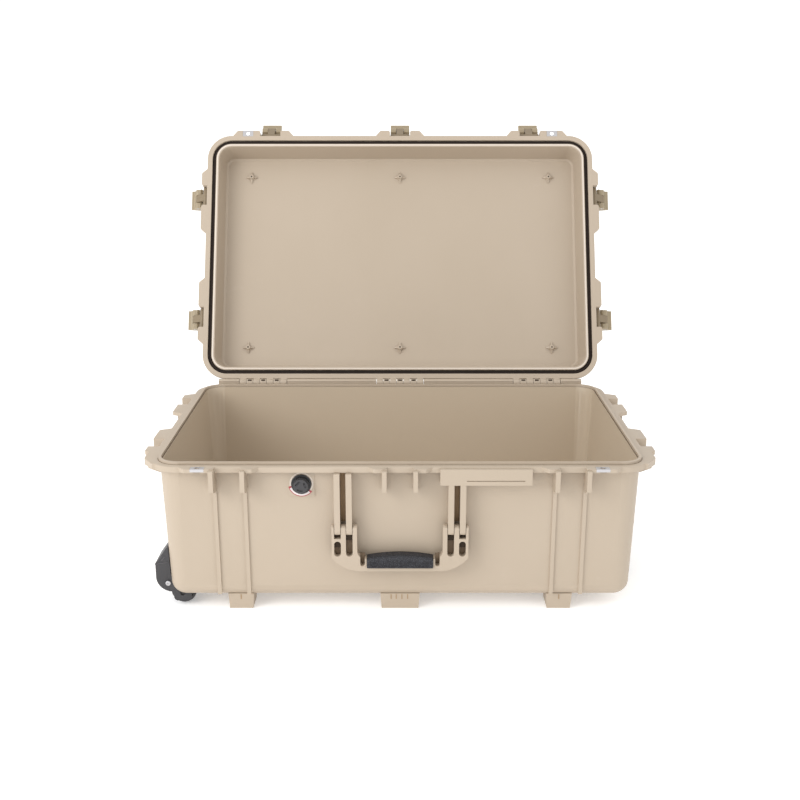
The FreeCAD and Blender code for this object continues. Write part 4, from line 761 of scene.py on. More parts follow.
def rounded_ring(half: Pair, corner: float, width: float) -> Piece:
    """Makes a flat ring with round corners, level at height 0.

    Args:
        half: Half of its outer length and depth.
        corner: Radius of its outer corners.
        width: Its width.

    Returns:
        The ring, one face wide and without thickness.
    """
    deselect_all()
    bpy.ops.mesh.primitive_plane_add(size=2.0)
    bpy.context.object.scale = (*half, 1.0)
    ring = settled()
    edit(ring)
    bpy.ops.mesh.bevel(offset=corner, segments=CORNER_STEPS, affect="VERTICES")
    bpy.ops.mesh.select_all(action="SELECT")
    bpy.ops.mesh.inset(thickness=width, depth=0.0)
    bpy.ops.mesh.delete(type="FACE")
    close()
    return ring


def thicken(sheet: Piece, wall: float, side: float) -> None:
    """Gives a sheet a wall.

    Args:
        sheet: The sheet.
        wall: The wall's thickness.
        side: 1 puts it on the side of the faces' normals, -1 on the other.
    """
    made = sheet.modifiers.new("wall", "SOLIDIFY")
    made.thickness = wall
    made.offset = side
    apply(sheet, made)


# Carried-over solids


@dataclass
class Solids:
    """The CAD solids, with a finish each and edges rounded as mouldings have them."""

    frame: dict
    paints: Paints
    shell_edge: float = 1.1 * MM
    latch_edge: float = 0.9 * MM
    small_edge: float = 0.3 * MM
    special: tuple[tuple[str, Shade], ...] = (
        ("valve_body", Shade.JET), ("front_wheel_axle", Shade.AXLE), ("rear_wheel_axle", Shade.AXLE))

    def dress(self) -> None:
        """Gives every CAD node its finish and its rounded edges."""
        slots = {row["node"]: Slot(row["material_slot"]) for row in self.frame["record"]["subparts"]}
        widths = {Slot.CASE: self.shell_edge, Slot.LATCH: self.latch_edge, Slot.BLACK: self.latch_edge}
        special = dict(self.special)
        for name, node in self.frame["nodes"].items():
            slot = slots[name]
            # Claws get a darker finish than the levers: painted shade.
            key = Shade.CLAW if name.endswith("_claw") else special.get(name, slot)
            node.data.materials.clear()
            node.data.materials.append(self.paints.face[key])
            if key in self.paints.edge:
                node.data.materials.append(self.paints.edge[key])
            self._round_edges(node, widths.get(slot, self.small_edge))
            LOG.info("solid %s: %s", name, slot.value)

    @staticmethod
    def _round_edges(node: Piece, width: float) -> None:
        """Adds live modifiers that merge a solid's triangles into faces and bevel its edges.

        Args:
            node: The CAD node's object, whose last material is its edges'.
            width: Width of the bevel.
        """
        node.modifiers.new("merge", "WELD").merge_threshold = WELD
        flat = node.modifiers.new("faces", "DECIMATE")
        flat.decimate_type = "DISSOLVE"
        flat.angle_limit = math.radians(FLAT_ANGLE_DEG)
        edge = add_bevel(node, width, SHARP_ANGLE_DEG)
        edge.use_clamp_overlap = True
        edge.harden_normals = True
        # The bevel's faces get the last material, whose colour carries the painted edge highlight (a painted
        # shade on steel).
        edge.material = len(node.data.materials) - 1


# Detail pieces


@dataclass
class Detail(ABC):
    """A sub-assembly's detail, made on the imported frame."""

    frame: dict
    paints: Paints

    @abstractmethod
    def build(self) -> None:
        """Makes the pieces and sets them on their bodies."""

    def fit(self, pieces: Sequence[Piece], name: str, body: str, key: Key, hides: Sequence[str] = (),
            edge_highlight: bool = False, place: Matrix | None = None) -> None:
        """Joins, names, paints and smooths finished pieces and sets the whole on its body.

        Args:
            pieces: The finished pieces.
            name: The whole's name.
            body: The body that carries it.
            key: Its finish.
            hides: CAD nodes that it stands for.
            edge_highlight: Whether it has the rounded edges' finish, with its painted highlight.
            place: Its move, where the pieces weren't made in their place.
        """
        piece = joined(pieces)
        if place is not None:
            piece.data.transform(place)
        piece.name = name
        piece.data.name = name
        piece.data.materials.clear()
        piece.data.materials.append((self.paints.edge if edge_highlight else self.paints.face)[key])
        activate(piece)
        bpy.ops.object.shade_smooth_by_angle(angle=math.radians(SMOOTH_ANGLE_DEG))
        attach(piece, body)
        if hides:
            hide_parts(*hides)
        LOG.info("piece %s on %s", name, body)


@dataclass
class GripRubber(Detail):
    """Rubber grip over a carrying handle's bar: an arched block with a framed face and ribbed ends."""

    handle: str
    turn_deg: float
    edge: float = 1.4 * MM
    rail_share: float = 0.90
    rail_height: float = 1.3 * MM
    proud: float = 0.7 * MM
    rail_from_foot: Pair = (2.4 * MM, 10.6 * MM)
    rib_count: int = 5
    rib_pitch: float = 3.4 * MM
    rib_width: float = 1.5 * MM
    rib_height: float = 5.2 * MM
    rib_from_end: float = 6.0 * MM
    pip_size: Pair = (3.0 * MM, 1.3 * MM)
    pip_proud: float = 0.5 * MM
    pip_count: int = 13
    pip_pitch: float = 4.4 * MM
    pip_tilt_deg: float = 32.0
    pip_rows: tuple[tuple[float, int], ...] = ((4.9 * MM, 1), (8.1 * MM, -1))

    def build(self) -> None:
        """Makes the grip in place of its CAD solid."""
        node = self.handle + "_grip"
        low, high = (Vector(corner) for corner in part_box(node))
        block = merged_copy(self.frame, node)
        soften(block, self.edge, segments=3)
        middle = (low + high) / 2
        size = high - low
        face = joined(self._face(max(size.x, size.y), -min(size.x, size.y) / 2))
        face.data.transform(shift(middle.x, middle.y, low.z) @ turned(self.turn_deg, "Z"))
        self.fit([block, face], node + "_rubber", self.handle, Slot.GRIP, [node])

    def _face(self, length: float, front: float) -> list[Piece]:
        """Makes the face's two long rails, the short ribs at both ends and two rows of slanted pips.

        Args:
            length: The grip's length.
            front: Where the grip's face is, along Y.

        Returns:
            The pieces, with the grip along X, its face towards -Y and its foot at 0.
        """
        rail = (length * self.rail_share, 2 * self.proud, self.rail_height)
        made = [rounded_bar(rail, (0.0, front, up), self.proud / 2) for up in self.rail_from_foot]
        rib = rounded_bar((self.rib_width, 2 * self.proud, self.rib_height), ORIGIN, self.proud / 2)
        rib_up = sum(self.rail_from_foot) / len(self.rail_from_foot)
        first = length / 2 - self.rib_from_end
        made += copies(rib, [shift(end * (first - count * self.rib_pitch), front, rib_up)
                             for end in (-1, 1) for count in range(self.rib_count)])
        long, high = self.pip_size
        pip = rounded_bar((long, 2 * self.pip_proud, high), ORIGIN, self.pip_proud / 2)
        moves = []
        for up, lean in self.pip_rows:
            turn = turned(lean * self.pip_tilt_deg, "Y")
            for count in range(self.pip_count):
                x = (count - (self.pip_count - 1) / 2) * self.pip_pitch
                moves.append(shift(x, front, up) @ turn)
        return made + copies(pip, moves)


@dataclass
class GasketCord(Detail):
    """The lid's rubber seal, a cord with a rounded face."""

    node: str = "lid_gasket"
    edge: float = 1.0 * MM

    def build(self) -> None:
        """Makes the cord in place of its CAD solid."""
        cord = merged_copy(self.frame, self.node)
        soften(cord, self.edge, RIM_ANGLE_DEG, segments=3)
        self.fit([cord], "lid_gasket_cord", "lid", Slot.SEAL, [self.node])


@dataclass
class ScrewHeads(Detail):
    """Pan-head screws with a cross recess, in place of the housings' plain ones."""

    node: str = "housing_screws"
    sides: int = 40
    head_height: float = 2.2 * MM
    dome_inset: float = 1.1 * MM
    dome_rise: float = 0.5 * MM
    recess_length: float = 4.6 * MM
    recess_width: float = 1.1 * MM
    recess_depth: float = 1.5 * MM

    def build(self) -> None:
        """Makes both heads."""
        low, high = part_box(self.node)
        x, z = (low[0] + high[0]) / 2, (low[2] + high[2]) / 2
        front = shift(x, low[1], z)
        rear = shift(x, high[1], z) @ turned(180.0, "Z")
        heads = copies(self._head((high[0] - low[0]) / 2), (front, rear))
        self.fit(heads, "housing_screw_heads", "base", Slot.STEEL, [self.node])

    def _head(self, radius: float) -> Piece:
        """Makes one head with its top at the origin, facing -Y.

        Args:
            radius: The head's radius.

        Returns:
            The head.
        """
        head = upright_disc(radius, self.head_height, (0.0, self.head_height / 2, 0.0), self.sides)
        edit(head)
        pick(head, "FACE", lambda face: face.normal.y < -SQUARE_ON)
        bpy.ops.mesh.inset(thickness=self.dome_inset, depth=0.0)
        bpy.ops.transform.translate(value=(0.0, -self.dome_rise, 0.0))
        bpy.ops.mesh.inset(thickness=self.dome_inset / 2, depth=0.0)
        close()
        for long, high in ((self.recess_length, self.recess_width), (self.recess_width, self.recess_length)):
            cut_away(head, rounded_bar((long, 2 * self.recess_depth, high), (0.0, -self.dome_rise, 0.0),
                                       self.recess_width / 5))
        return head


@dataclass
class ValveFace(Detail):
    """What shows of the pressure valve: the dial with its three finger slots, a pale collar as a painted
    highlight, and a bare label.
    """

    sides: int = 72
    dial_inset: float = 1.4 * MM
    dial_depth: float = 2.6 * MM
    dial_proud: float = 0.9 * MM
    dial_edge: float = 0.5 * MM
    slot_size: Pair = (9.0 * MM, 3.0 * MM)
    slot_round: float = 1.2 * MM
    slot_radius: float = 6.4 * MM
    slot_depth: float = 1.9 * MM
    slot_angles_deg: tuple[float, ...] = (137.0, 17.0, 257.0)
    label: Pair = (13.4 * MM, 19.4 * MM)
    label_edge: float = 1.1 * MM
    label_span_deg: Pair = (203.0, 313.0)
    label_tip_deg: float = 9.0
    label_depth: float = 0.25 * MM
    label_steps: int = 36
    collar: Pair = (15.7 * MM, 18.0 * MM)
    collar_span_deg: Pair = (-38.0, 192.0)

    def build(self) -> None:
        """Makes the dial's face, the label and the collar."""
        low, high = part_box("valve_knob")
        x, z = (low[0] + high[0]) / 2, (low[2] + high[2]) / 2
        dial = self._dial((high[0] - low[0]) / 2, (x, low[1], z))
        self.fit([dial], "valve_dial_face", "valve_knob", Slot.BLACK)
        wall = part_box("valve_seal")[1][1]
        start, end = self.label_span_deg
        outer, tip = self.label[1], self.label_tip_deg
        edges = ((self.label, (start - tip, start)), (self.label, (end, end + tip)),
                 ((outer, outer + self.label_edge), (start - tip, end + tip)))
        # The collar is a pale strip over the dial's upper side: painted highlight.
        for name, key, strips in (("valve_label_film", Print.WHITE, ((self.label, self.label_span_deg),)),
                                  ("valve_label_edge", Print.RED, edges),
                                  ("valve_collar_highlight", Shade.LIP, ((self.collar, self.collar_span_deg),))):
            made = [self._strip(radii, span_deg) for radii, span_deg in strips]
            self.fit(made, name, "base", key, place=shift(x, wall, z))

    def _dial(self, radius: float, middle: Place) -> Piece:
        """Makes the dial's face.

        Args:
            radius: The knob's radius.
            middle: The middle of the knob's face.

        Returns:
            The face: a disc with a rounded edge and three finger slots.
        """
        x, y, z = middle
        top = y - self.dial_proud
        dial = upright_disc(radius - self.dial_inset, self.dial_depth, (x, top + self.dial_depth / 2, z),
                            self.sides)
        soften(dial, self.dial_edge, RIM_ANGLE_DEG, segments=3)
        length, width = self.slot_size
        for degrees in self.slot_angles_deg:
            turn = math.radians(degrees)
            tool = rounded_bar((length, 2 * self.slot_depth, width), ORIGIN, self.slot_round, segments=3)
            tool.data.transform(Matrix.Rotation(math.pi / 2 - turn, 4, "Y"))
            tool.data.transform(shift(x + self.slot_radius * math.cos(turn), top,
                                      z + self.slot_radius * math.sin(turn)))
            cut_away(dial, tool)
        return dial

    def _strip(self, radii: Pair, span_deg: Pair) -> Piece:
        """Makes a flat curved strip about the valve.

        Args:
            radii: The strip's inner and outer radius.
            span_deg: Where it starts and ends, from +X towards +Z.

        Returns:
            The strip, with the valve's middle at the origin.
        """
        inner, outer = radii
        start, end = (math.radians(degrees) for degrees in span_deg)
        strip = rounded_bar((outer - inner, self.label_depth, self.label_depth),
                            ((inner + outer) / 2, 0.0, 0.0), self.label_depth / 5, segments=1)
        edit(strip)
        pick(strip, "FACE", lambda face: face.normal.z > HALF_ON)
        bpy.ops.mesh.spin(steps=self.label_steps, angle=end - start, center=ORIGIN, axis=(0.0, 1.0, 0.0))
        turn_normals_out()
        close()
        strip.data.transform(Matrix.Rotation(-start, 4, "Y"))
        return strip


@dataclass
class Tyre(Detail):
    """Wheel's tyre with round shoulders and two grooves in its tread."""

    wheel: str
    sides: int = 96
    wall: float = 5.0 * MM
    bore_share: float = 0.75
    shoulder: float = 2.6 * MM
    groove_place: float = 5.5 * MM
    groove_width: float = 1.8 * MM
    groove_depth: float = 0.9 * MM

    def build(self) -> None:
        """Makes the tyre in place of its CAD solid."""
        node = self.wheel + "_tyre"
        low, high = (Vector(corner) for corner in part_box(node))
        middle = (low + high) / 2
        radius = (high.z - low.z) / 2
        bore = radius - self.bore_share * self.wall

        def outside(place: Vector) -> bool:
            """Tells the tread from the bore."""
            return math.hypot(place.x - middle.x, place.z - middle.z) > bore

        def in_groove(face: bmesh.types.BMFace) -> bool:
            """Finds the tread's faces in the grooves."""
            place = face.calc_center_median()
            return (outside(place) and abs(face.normal.y) < 1.0 - SQUARE_ON
                    and abs(abs(place.y - middle.y) - self.groove_place) < self.groove_width / 2)

        ring = upright_disc(radius, high.y - low.y, tuple(middle), self.sides)
        edit(ring)
        pick(ring, "FACE", lambda face: abs(face.normal.y) > SQUARE_ON)
        bpy.ops.mesh.inset(thickness=self.wall, depth=0.0)
        bpy.ops.mesh.delete(type="FACE")
        pick(ring, "EDGE", lambda edge: not any(outside(end.co) for end in edge.verts))
        bpy.ops.mesh.bridge_edge_loops()
        pick(ring, "EDGE", lambda edge: all(outside(end.co) for end in edge.verts)
             and abs(edge.verts[0].co.y - edge.verts[1].co.y) < WELD)
        bpy.ops.mesh.bevel(offset=self.shoulder, segments=3, affect="EDGES")
        for place in (-self.groove_place, self.groove_place):
            for side in (-0.5, 0.5):
                bpy.ops.mesh.select_all(action="SELECT")
                y = middle.y + place + side * self.groove_width
                bpy.ops.mesh.bisect(plane_co=(middle.x, y, middle.z), plane_no=(0.0, 1.0, 0.0))
        pick(ring, "FACE", in_groove)
        bpy.ops.mesh.inset(thickness=self.groove_width / 6, depth=-self.groove_depth)
        turn_normals_out()
        close()
        self.fit([ring], node + "_tread", self.wheel, Slot.TYRE, [node])


@dataclass
class PullGripRibs(Detail):
    """Short finger ribs on the pull handle's cross bar, either side of its button."""

    count: int = 9
    pitch: float = 6.0 * MM
    width: float = 2.4 * MM
    proud: float = 0.8 * MM
    height_share: float = 0.62
    from_end: float = 14.0 * MM

    def build(self) -> None:
        """Makes the ribs."""
        low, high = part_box("pull_handle_grip")
        height = (high[2] - low[2]) * self.height_share
        rib = rounded_bar((2 * self.proud, self.width, height), (high[0], 0.0, (low[2] + high[2]) / 2),
                          self.proud / 2)
        ribs = copies(rib, [shift(0.0, end + sign * (self.from_end + count * self.pitch), 0.0)
                            for end, sign in ((low[1], 1), (high[1], -1)) for count in range(self.count)])
        self.fit(ribs, "pull_grip_ribs", "pull_handle", Slot.BLACK)


@dataclass
class HingeRails(Detail):
    """Rounded caps on the rear rails between the hinges, their ends, and dark plates at the knuckles as
    painted shade of their pockets.
    """

    spans: tuple[Pair, ...] = ((46.0 * MM, 218.0 * MM), (310.0 * MM, 350.0 * MM))
    cap_sides: int = 64
    cap_radius: float = 7.2 * MM
    cap_foot: float = 4.0 * MM
    cap_edge: float = 0.4 * MM
    end_size: Place = (4.6 * MM, 8.0 * MM, 10.0 * MM)
    end_middle: Pair = (-1.0 * MM, -0.5 * MM)
    hinge_pitch: float = 264.0 * MM
    end_from_hinge: float = 48.3 * MM
    pocket_pitch: float = 26.0 * MM
    pocket_size: Place = (7.6 * MM, 3.4 * MM, 0.7 * MM)
    pocket_radius: float = 7.0 * MM
    pocket_lean_deg: float = 35.0

    def build(self) -> None:
        """Makes the caps, their ends and the pockets' painted shade."""
        axis = joint_place(self.frame, "lid_hinge")
        hinges = [step * self.hinge_pitch for step in (-1, 0, 1)]
        rails = [self._cap(side * (low + high) / 2, high - low)
                 for side in (1, -1) for low, high in self.spans]
        end = rounded_bar(self.end_size, (0.0, *self.end_middle), self.cap_edge)
        rails += copies(end, [shift(hinge + side * self.end_from_hinge, 0.0, 0.0)
                              for hinge in hinges for side in (-1, 1)])
        pocket = rounded_bar(self.pocket_size, (0.0, 0.0, self.pocket_radius), self.pocket_size[2] / 3)
        pocket.data.transform(turned(self.pocket_lean_deg, "X"))
        pockets = copies(pocket, [shift(hinge + step * self.pocket_pitch, 0.0, 0.0)
                                  for hinge in hinges for step in (-1, 0, 1)])
        place = shift(0.0, axis.y, axis.z)
        self.fit(rails, "hinge_rail_caps", "base", Slot.CASE, place=place)
        self.fit(pockets, "hinge_knuckle_pocket_shade", "base", Shade.DEEP, place=place)

    def _cap(self, middle: float, length: float) -> Piece:
        """Makes one cap, round about the hinge's axis and flat underneath.

        Args:
            middle: The cap's middle, along X.
            length: Its length.

        Returns:
            The cap, with the hinge's axis along X through the origin.
        """
        cap = round_block(self.cap_radius, length, (middle, 0.0, 0.0), self.cap_sides,
                          (0.0, math.pi / 2, 0.0))
        edit(cap)
        bpy.ops.mesh.bisect(plane_co=(0.0, 0.0, self.cap_foot), plane_no=(0.0, 0.0, 1.0), use_fill=True,
                            clear_inner=True)
        close()
        soften(cap, self.cap_edge, RIM_ANGLE_DEG)
        return cap


@dataclass
class LidPanel(Detail):
    """The cove round the lid's inner panel, the bead on its lip with a painted highlight, and the collars of
    its bosses with painted shade in their holes.
    """

    half: Pair = (351.6 * MM, 214.6 * MM)
    corner: float = 15.6 * MM
    cove: float = 3.4 * MM
    cove_draft: float = 0.6 * MM
    cove_wall: float = 0.6 * MM
    panel_from_axis: Pair = (-254.0 * MM, 48.0 * MM)
    boss_x: tuple[float, ...] = (-301.0 * MM, 0.0, 301.0 * MM)
    boss_y: Pair = (-176.0 * MM, 176.0 * MM)
    lip_half: Pair = (365.1 * MM, 228.1 * MM)
    lip_corner: float = 29.1 * MM
    lip_width: float = 2.7 * MM
    lip_proud: float = 0.5 * MM
    lip_drop: float = 49.55 * MM
    collar_foot: float = 9.0 * MM
    collar_top: float = 3.4 * MM
    collar_height: float = 5.5 * MM
    collar_edge: float = 0.7 * MM
    boss_height: float = 9.0 * MM
    dot_radius: float = 1.55 * MM
    dot_depth: float = 0.8 * MM
    dot_sunk: float = 0.5 * MM
    dot_sides: int = 24

    def build(self) -> None:
        """Makes the pieces for a closed lid with its panel at height 0, and opens them with the lid."""
        hinge = joint_row(self.frame, "lid_hinge")
        swing = turned(hinge["range_deg"][0], "X")
        opened = shift(*hinge["pos_m"]) @ swing @ shift(0.0, *self.panel_from_axis)
        bosses = [shift(x, y, 0.0) for x in self.boss_x for y in self.boss_y]
        for name, made, key in (("lid_panel_cove", [self._cove()], Slot.CASE),
                                ("lid_lip_highlight_bead", [self._lip()], Shade.LIP),
                                ("lid_boss_collars", copies(self._collar(), bosses), Slot.CASE),
                                ("lid_boss_hole_shade", copies(self._dot(), bosses), Shade.DEEP)):
            self.fit(made, name, "lid", key, place=opened)

    def _outside(self, place: Vector) -> bool:
        """Tells the cove's outer loop from its inner one.

        Args:
            place: A corner of the cove.

        Returns:
            Whether it is on the outer loop.
        """
        x = abs(place.x) - self.half[0] + self.corner
        y = abs(place.y) - self.half[1] + self.corner
        reach = math.hypot(x, y) if x > 0.0 and y > 0.0 else max(x, y)
        return reach > self.corner - self.cove / 2

    def _cove(self) -> Piece:
        """Makes the slanted strip between the panel and the lid's walls.

        Returns:
            The strip.
        """
        strip = rounded_ring(self.half, self.corner, self.cove)
        edit(strip)
        pick(strip, "EDGE", lambda edge: all(self._outside(end.co) for end in edge.verts))
        bpy.ops.transform.translate(value=(0.0, 0.0, -self.cove))
        bpy.ops.transform.resize(value=(*(1.0 + self.cove_draft / half for half in self.half), 1.0))
        close()
        thicken(strip, self.cove_wall, 1.0)
        return strip

    def _lip(self) -> Piece:
        """Makes the bead on the lip inside the gasket, pale as a painted highlight.

        Returns:
            The bead.
        """
        bead = rounded_ring(self.lip_half, self.lip_corner, self.lip_width)
        thicken(bead, self.lip_proud, 1.0)
        soften(bead, self.lip_proud / 3)
        bead.data.transform(shift(0.0, 0.0, -self.lip_drop - self.lip_proud))
        return bead

    def _collar(self) -> Piece:
        """Makes the four-cornered collar at a boss's foot.

        Returns:
            The collar.
        """
        deselect_all()
        bpy.ops.mesh.primitive_cone_add(
            vertices=4, radius1=self.collar_foot, radius2=self.collar_top, depth=self.collar_height,
            location=(0.0, 0.0, -self.collar_height / 2), rotation=(math.pi, 0.0, 0.0))
        collar = settled()
        soften(collar, self.collar_edge)
        return collar

    def _dot(self) -> Piece:
        """Makes the painted shade in a boss's screw hole: a dark disc at the hole's floor.

        Returns:
            The floor.
        """
        dot = upright_disc(self.dot_radius, self.dot_depth, ORIGIN, self.dot_sides)
        soften(dot, self.dot_depth / 4, RIM_ANGLE_DEG)
        dot.data.transform(turned(90.0, "X"))
        dot.data.transform(shift(0.0, 0.0, self.dot_sunk - self.boss_height))
        return dot


@dataclass
class HandleShadows(Detail):
    """Painted shade in the recesses at a carrying handle: dark plates between its columns and in its legs'
    slots.
    """

    handle: str
    turn_deg: float
    gap_middle: float = 86.5 * MM
    gap_size: Place = (8.9 * MM, 1.2 * MM, 83.0 * MM)
    gap_place: Pair = (12.7 * MM, 49.5 * MM)
    gap_draft_deg: float = 2.18
    inner_slot: Pair = (77.5 * MM, 10.2 * MM)
    outer_slot: Pair = (95.5 * MM, 10.2 * MM)
    relief_slot: Pair = (57.5 * MM, 6.8 * MM)
    plug_depth: float = 4.0 * MM
    plug_back: float = 1.0 * MM
    inner_plug: Pair = (-17.6 * MM, -9.6 * MM)
    outer_plugs: tuple[Pair, ...] = ((-13.1 * MM, -9.6 * MM), (-29.0 * MM, -17.3 * MM))
    channel_depth: float = 2.0 * MM
    channel_back: float = 4.5 * MM
    inner_channel: Pair = (-41.8 * MM, -17.0 * MM)
    outer_channel: Pair = (-41.8 * MM, -27.0 * MM)
    relief_channel: Pair = (-57.8 * MM, -40.2 * MM)
    edge: float = 0.4 * MM

    def build(self) -> None:
        """Makes the painted-shade plates about the handle's pivot, with the wall towards +Y, and places them.
        """
        pivot = joint_place(self.frame, self.handle + "_fold")
        place = shift(*pivot) @ turned(self.turn_deg, "Z")
        gap = rounded_bar(self.gap_size, ORIGIN, self.edge)
        gap.data.transform(turned(self.gap_draft_deg, "X"))
        gaps = copies(gap, [shift(side * self.gap_middle, *self.gap_place) for side in (-1, 1)])
        plugs = ((self.inner_slot, self.inner_plug), *((self.outer_slot, ends) for ends in self.outer_plugs))
        channels = ((self.inner_slot, self.inner_channel), (self.outer_slot, self.outer_channel),
                    (self.relief_slot, self.relief_channel))
        for label, body, shade, made in (
                ("_column_gap_shade", "base", Shade.BROWN, gaps),
                ("_slot_plug_shade", self.handle, Shade.DEEP,
                 self._bars(plugs, self.plug_back, self.plug_depth)),
                ("_slot_channel_shade", self.handle, Shade.CHANNEL,
                 self._bars(channels, self.channel_back, self.channel_depth))):
            self.fit(made, self.handle + label, body, shade, place=place)

    def _bars(self, rows: Sequence[tuple[Pair, Pair]], back: float, depth: float) -> list[Piece]:
        """Makes bars in both legs' slots; a row gives the slot's middle and width, then the bar's ends."""
        return [rounded_bar((width, depth, high - low), (side * x, back, (low + high) / 2), self.edge)
                for side in (-1, 1) for (x, width), (low, high) in rows]


@dataclass
class RimLines(Detail):
    """Painted shade of fine grooves along both feet of the base's sealing tongue: thin dark rings."""

    half: Pair = (370.0 * MM, 233.0 * MM)
    corner: float = 34.0 * MM
    rings: tuple[Pair, ...] = ((3.5 * MM, 1.2 * MM), (-2.4 * MM, 1.8 * MM))
    height: float = 246.12 * MM
    wall: float = 0.3 * MM

    def build(self) -> None:
        """Makes the dark rings of painted shade."""
        made = []
        for out, width in self.rings:
            line = rounded_ring((self.half[0] + out, self.half[1] + out), self.corner + out, width)
            thicken(line, self.wall, -1.0)
            made.append(line)
        place = shift(0.0, base_middle(self.frame), self.height)
        self.fit(made, "rim_groove_shade", "base", Shade.CHANNEL, place=place)


@dataclass
class LeverRibs(Detail):
    """Finger ribs on the outer face of each latch's lever."""

    fronts: tuple[str, ...] = ("front_left", "front_centre", "front_right")
    lefts: tuple[str, ...] = ("left_front", "left_rear")
    rights: tuple[str, ...] = ("right_front", "right_rear")
    size: Place = (30.0 * MM, 1.4 * MM, 1.5 * MM)
    face: float = 9.9 * MM
    ups: tuple[float, ...] = (-13.0 * MM, -17.0 * MM, -21.0 * MM)
    edge: float = 0.5 * MM

    def build(self) -> None:
        """Makes each lever's ribs in the lever's open place, turned half round from its shut one."""
        opened = -math.radians(joint_row(self.frame, "lid_hinge")["range_deg"][0])
        up = Vector((0.0, -math.sin(opened), -math.cos(opened)))
        front = Vector((0.0, math.cos(opened), -math.sin(opened)))
        left = Vector((1.0, 0.0, 0.0))
        for latches, out in ((self.fronts, front), (self.lefts, left), (self.rights, -left)):
            axes = Matrix((out.cross(up), out, up)).transposed().to_4x4()
            for latch in latches:
                ribs = [rounded_bar(self.size, (0.0, self.face, height), self.edge) for height in self.ups]
                place = shift(*joint_place(self.frame, latch + "_lever_throw")) @ axes
                self.fit(ribs, latch + "_lever_ribs", latch + "_lever", Slot.LATCH, place=place)


@dataclass
class FootMarks(Detail):
    """Painted shade of narrow moulding notches at the top of the feet's faces: thin brown bars."""

    places: tuple[float, ...] = (-251.0 * MM, -14.0 * MM, -6.0 * MM, 3.0 * MM, 12.0 * MM, 251.0 * MM)
    from_middle: float = 217.8 * MM
    size: Place = (1.5 * MM, 0.5 * MM, 8.0 * MM)
    up: float = 20.6 * MM

    def build(self) -> None:
        """Makes the notches' painted shade on the front and rear feet."""
        middle = base_middle(self.frame)
        mark = rounded_bar(self.size, (0.0, 0.0, self.up), self.size[1] / 4)
        marks = copies(mark, [shift(x, middle + side * self.from_middle, 0.0)
                              for x in self.places for side in (-1, 1)])
        self.fit(marks, "foot_notch_shade", "base", Shade.BROWN)


@dataclass
class HousingRidges(Detail):
    """The ridge along the crease of the wheel housings' cheeks, and the ribs above it, in the rounded edges'
    finish with its painted highlight.
    """

    cheek_from_middle: float = 206.0 * MM
    crease: tuple[Pair, Pair] = ((-387.0 * MM, 70.5 * MM), (-366.0 * MM, 74.0 * MM))
    ribs: tuple[tuple[Pair, Pair], ...] = (((-382.5 * MM, 76.0 * MM), (-374.5 * MM, 85.0 * MM)),
                                           ((-376.5 * MM, 76.5 * MM), (-370.5 * MM, 83.5 * MM)))
    crease_size: Pair = (1.6 * MM, 1.4 * MM)
    rib_size: Pair = (1.0 * MM, 1.6 * MM)

    def build(self) -> None:
        """Makes the ridges of both housings."""
        middle = base_middle(self.frame)
        rows = ((self.crease, self.crease_size), *((rib, self.rib_size) for rib in self.ribs))
        made = [self._bar(ends, middle + side * self.cheek_from_middle, size)
                for side in (-1, 1) for ends, size in rows]
        # The ridges carry a painted highlight along the crease: the lighter finish of rounded edges.
        self.fit(made, "housing_ridges", "base", Slot.BLACK, edge_highlight=True)

    @staticmethod
    def _bar(ends: tuple[Pair, Pair], y: float, size: Pair) -> Piece:
        """Makes a slanted bar on a cheek.

        Args:
            ends: X and Z of its two ends.
            y: The cheek's face.
            size: Its depth and its width.

        Returns:
            The bar.
        """
        (x0, z0), (x1, z1) = ends
        depth, width = size
        bar = rounded_bar((math.hypot(x1 - x0, z1 - z0), depth, width), ORIGIN, width / 4)
        bar.data.transform(Matrix.Rotation(-math.atan2(z1 - z0, x1 - x0), 4, "Y"))
        bar.data.transform(shift((x0 + x1) / 2, y, (z0 + z1) / 2))
        return bar


# Studio


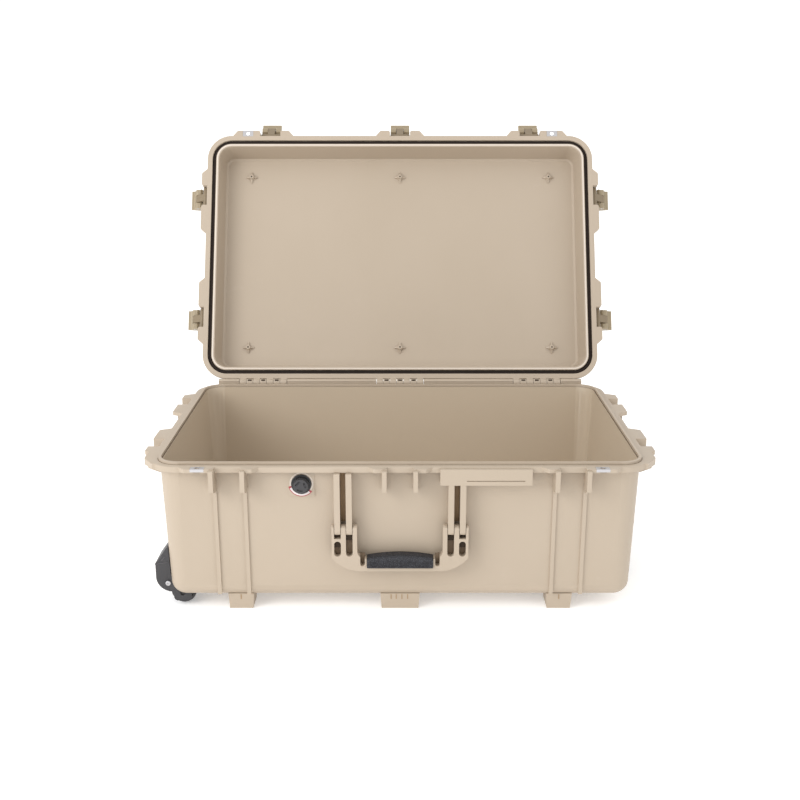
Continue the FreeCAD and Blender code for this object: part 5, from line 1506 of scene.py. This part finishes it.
@dataclass
class Studio:
    """White floor and surround, a soft light, and the camera at the photograph's place."""

    frame: dict
    floor_size: float = 60.0
    floor_colour: Colour = (0.95, 0.95, 0.95)
    floor_rough: float = 0.9
    floor_specular: float = 0.1
    floor_glow: float = 0.30
    surround: float = 1.10
    key_place: Place = (-2.1, -2.1, 1.65)
    key_aim: Place = (0.0, 0.0, 0.30)
    key_size: float = 1.6
    key_power: float = 40.0
    camera_from_hinge: Place = (0.0, -2.08695, 0.5394)
    camera_pitch_deg: float = 15.39
    lens: float = 50.13
    sensor: float = 36.0

    def build(self) -> None:
        """Makes the floor, the surround, the light and the camera."""
        self._floor()
        self._surround()
        self._key()
        self._camera()
        settings = bpy.context.scene.view_settings
        settings.view_transform = "Standard"
        settings.look = "None"

    def _floor(self) -> None:
        """Makes the pale floor, which glows faintly."""
        deselect_all()
        bpy.ops.mesh.primitive_plane_add(size=self.floor_size)
        floor = bpy.context.object
        floor.name = "floor"
        made = bpy.data.materials.new("pale_floor")
        made.use_nodes = True
        sockets = made.node_tree.nodes["Principled BSDF"].inputs
        sockets["Base Color"].default_value = (*self.floor_colour, 1.0)
        sockets["Roughness"].default_value = self.floor_rough
        sockets["Specular IOR Level"].default_value = self.floor_specular
        sockets["Emission Color"].default_value = (1.0, 1.0, 1.0, 1.0)
        sockets["Emission Strength"].default_value = self.floor_glow
        floor.data.materials.append(made)

    def _surround(self) -> None:
        """Makes the white surround."""
        world = bpy.data.worlds.new("white_surround")
        bpy.context.scene.world = world
        world.use_nodes = True
        back = world.node_tree.nodes["Background"]
        back.inputs["Color"].default_value = (1.0, 1.0, 1.0, 1.0)
        back.inputs["Strength"].default_value = self.surround

    def _key(self) -> None:
        """Adds the square soft light at the front left."""
        data = bpy.data.lights.new("key_light", "AREA")
        data.size = self.key_size
        data.energy = self.key_power
        lamp = show(bpy.data.objects.new("key_light", data))
        lamp.location = self.key_place
        aim = Vector(self.key_aim) - Vector(self.key_place)
        lamp.rotation_euler = aim.to_track_quat("-Z", "Y").to_euler()

    def _camera(self) -> None:
        """Adds the camera, placed from the lid's hinge."""
        data = bpy.data.cameras.new("camera")
        data.lens = self.lens
        data.sensor_width = self.sensor
        camera = show(bpy.data.objects.new("camera", data))
        camera.location = joint_place(self.frame, "lid_hinge") + Vector(self.camera_from_hinge)
        camera.rotation_euler = (math.radians(90.0 - self.camera_pitch_deg), 0.0, 0.0)
        bpy.context.scene.camera = camera


def main() -> None:
    """Loads the frame, builds and dresses each sub-assembly, and sets up the studio."""
    logging.basicConfig(level=logging.INFO, format="%(name)s: %(message)s")
    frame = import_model()
    paints = Paints(Effects(base_middle(frame)))
    details = (
        GripRubber(frame, paints, "front_handle", turn_deg=0.0),
        GripRubber(frame, paints, "side_handle", turn_deg=90.0),
        GasketCord(frame, paints),
        ScrewHeads(frame, paints),
        ValveFace(frame, paints),
        Tyre(frame, paints, "front_wheel"),
        Tyre(frame, paints, "rear_wheel"),
        PullGripRibs(frame, paints),
        HingeRails(frame, paints),
        LidPanel(frame, paints),
        HandleShadows(frame, paints, "front_handle", turn_deg=0.0),
        HandleShadows(frame, paints, "side_handle", turn_deg=90.0),
        RimLines(frame, paints),
        LeverRibs(frame, paints),
        FootMarks(frame, paints),
        HousingRidges(frame, paints),
    )
    for detail in details:
        detail.build()
    Solids(frame, paints).dress()
    Studio(frame).build()


if __name__ == "__main__":
    main()
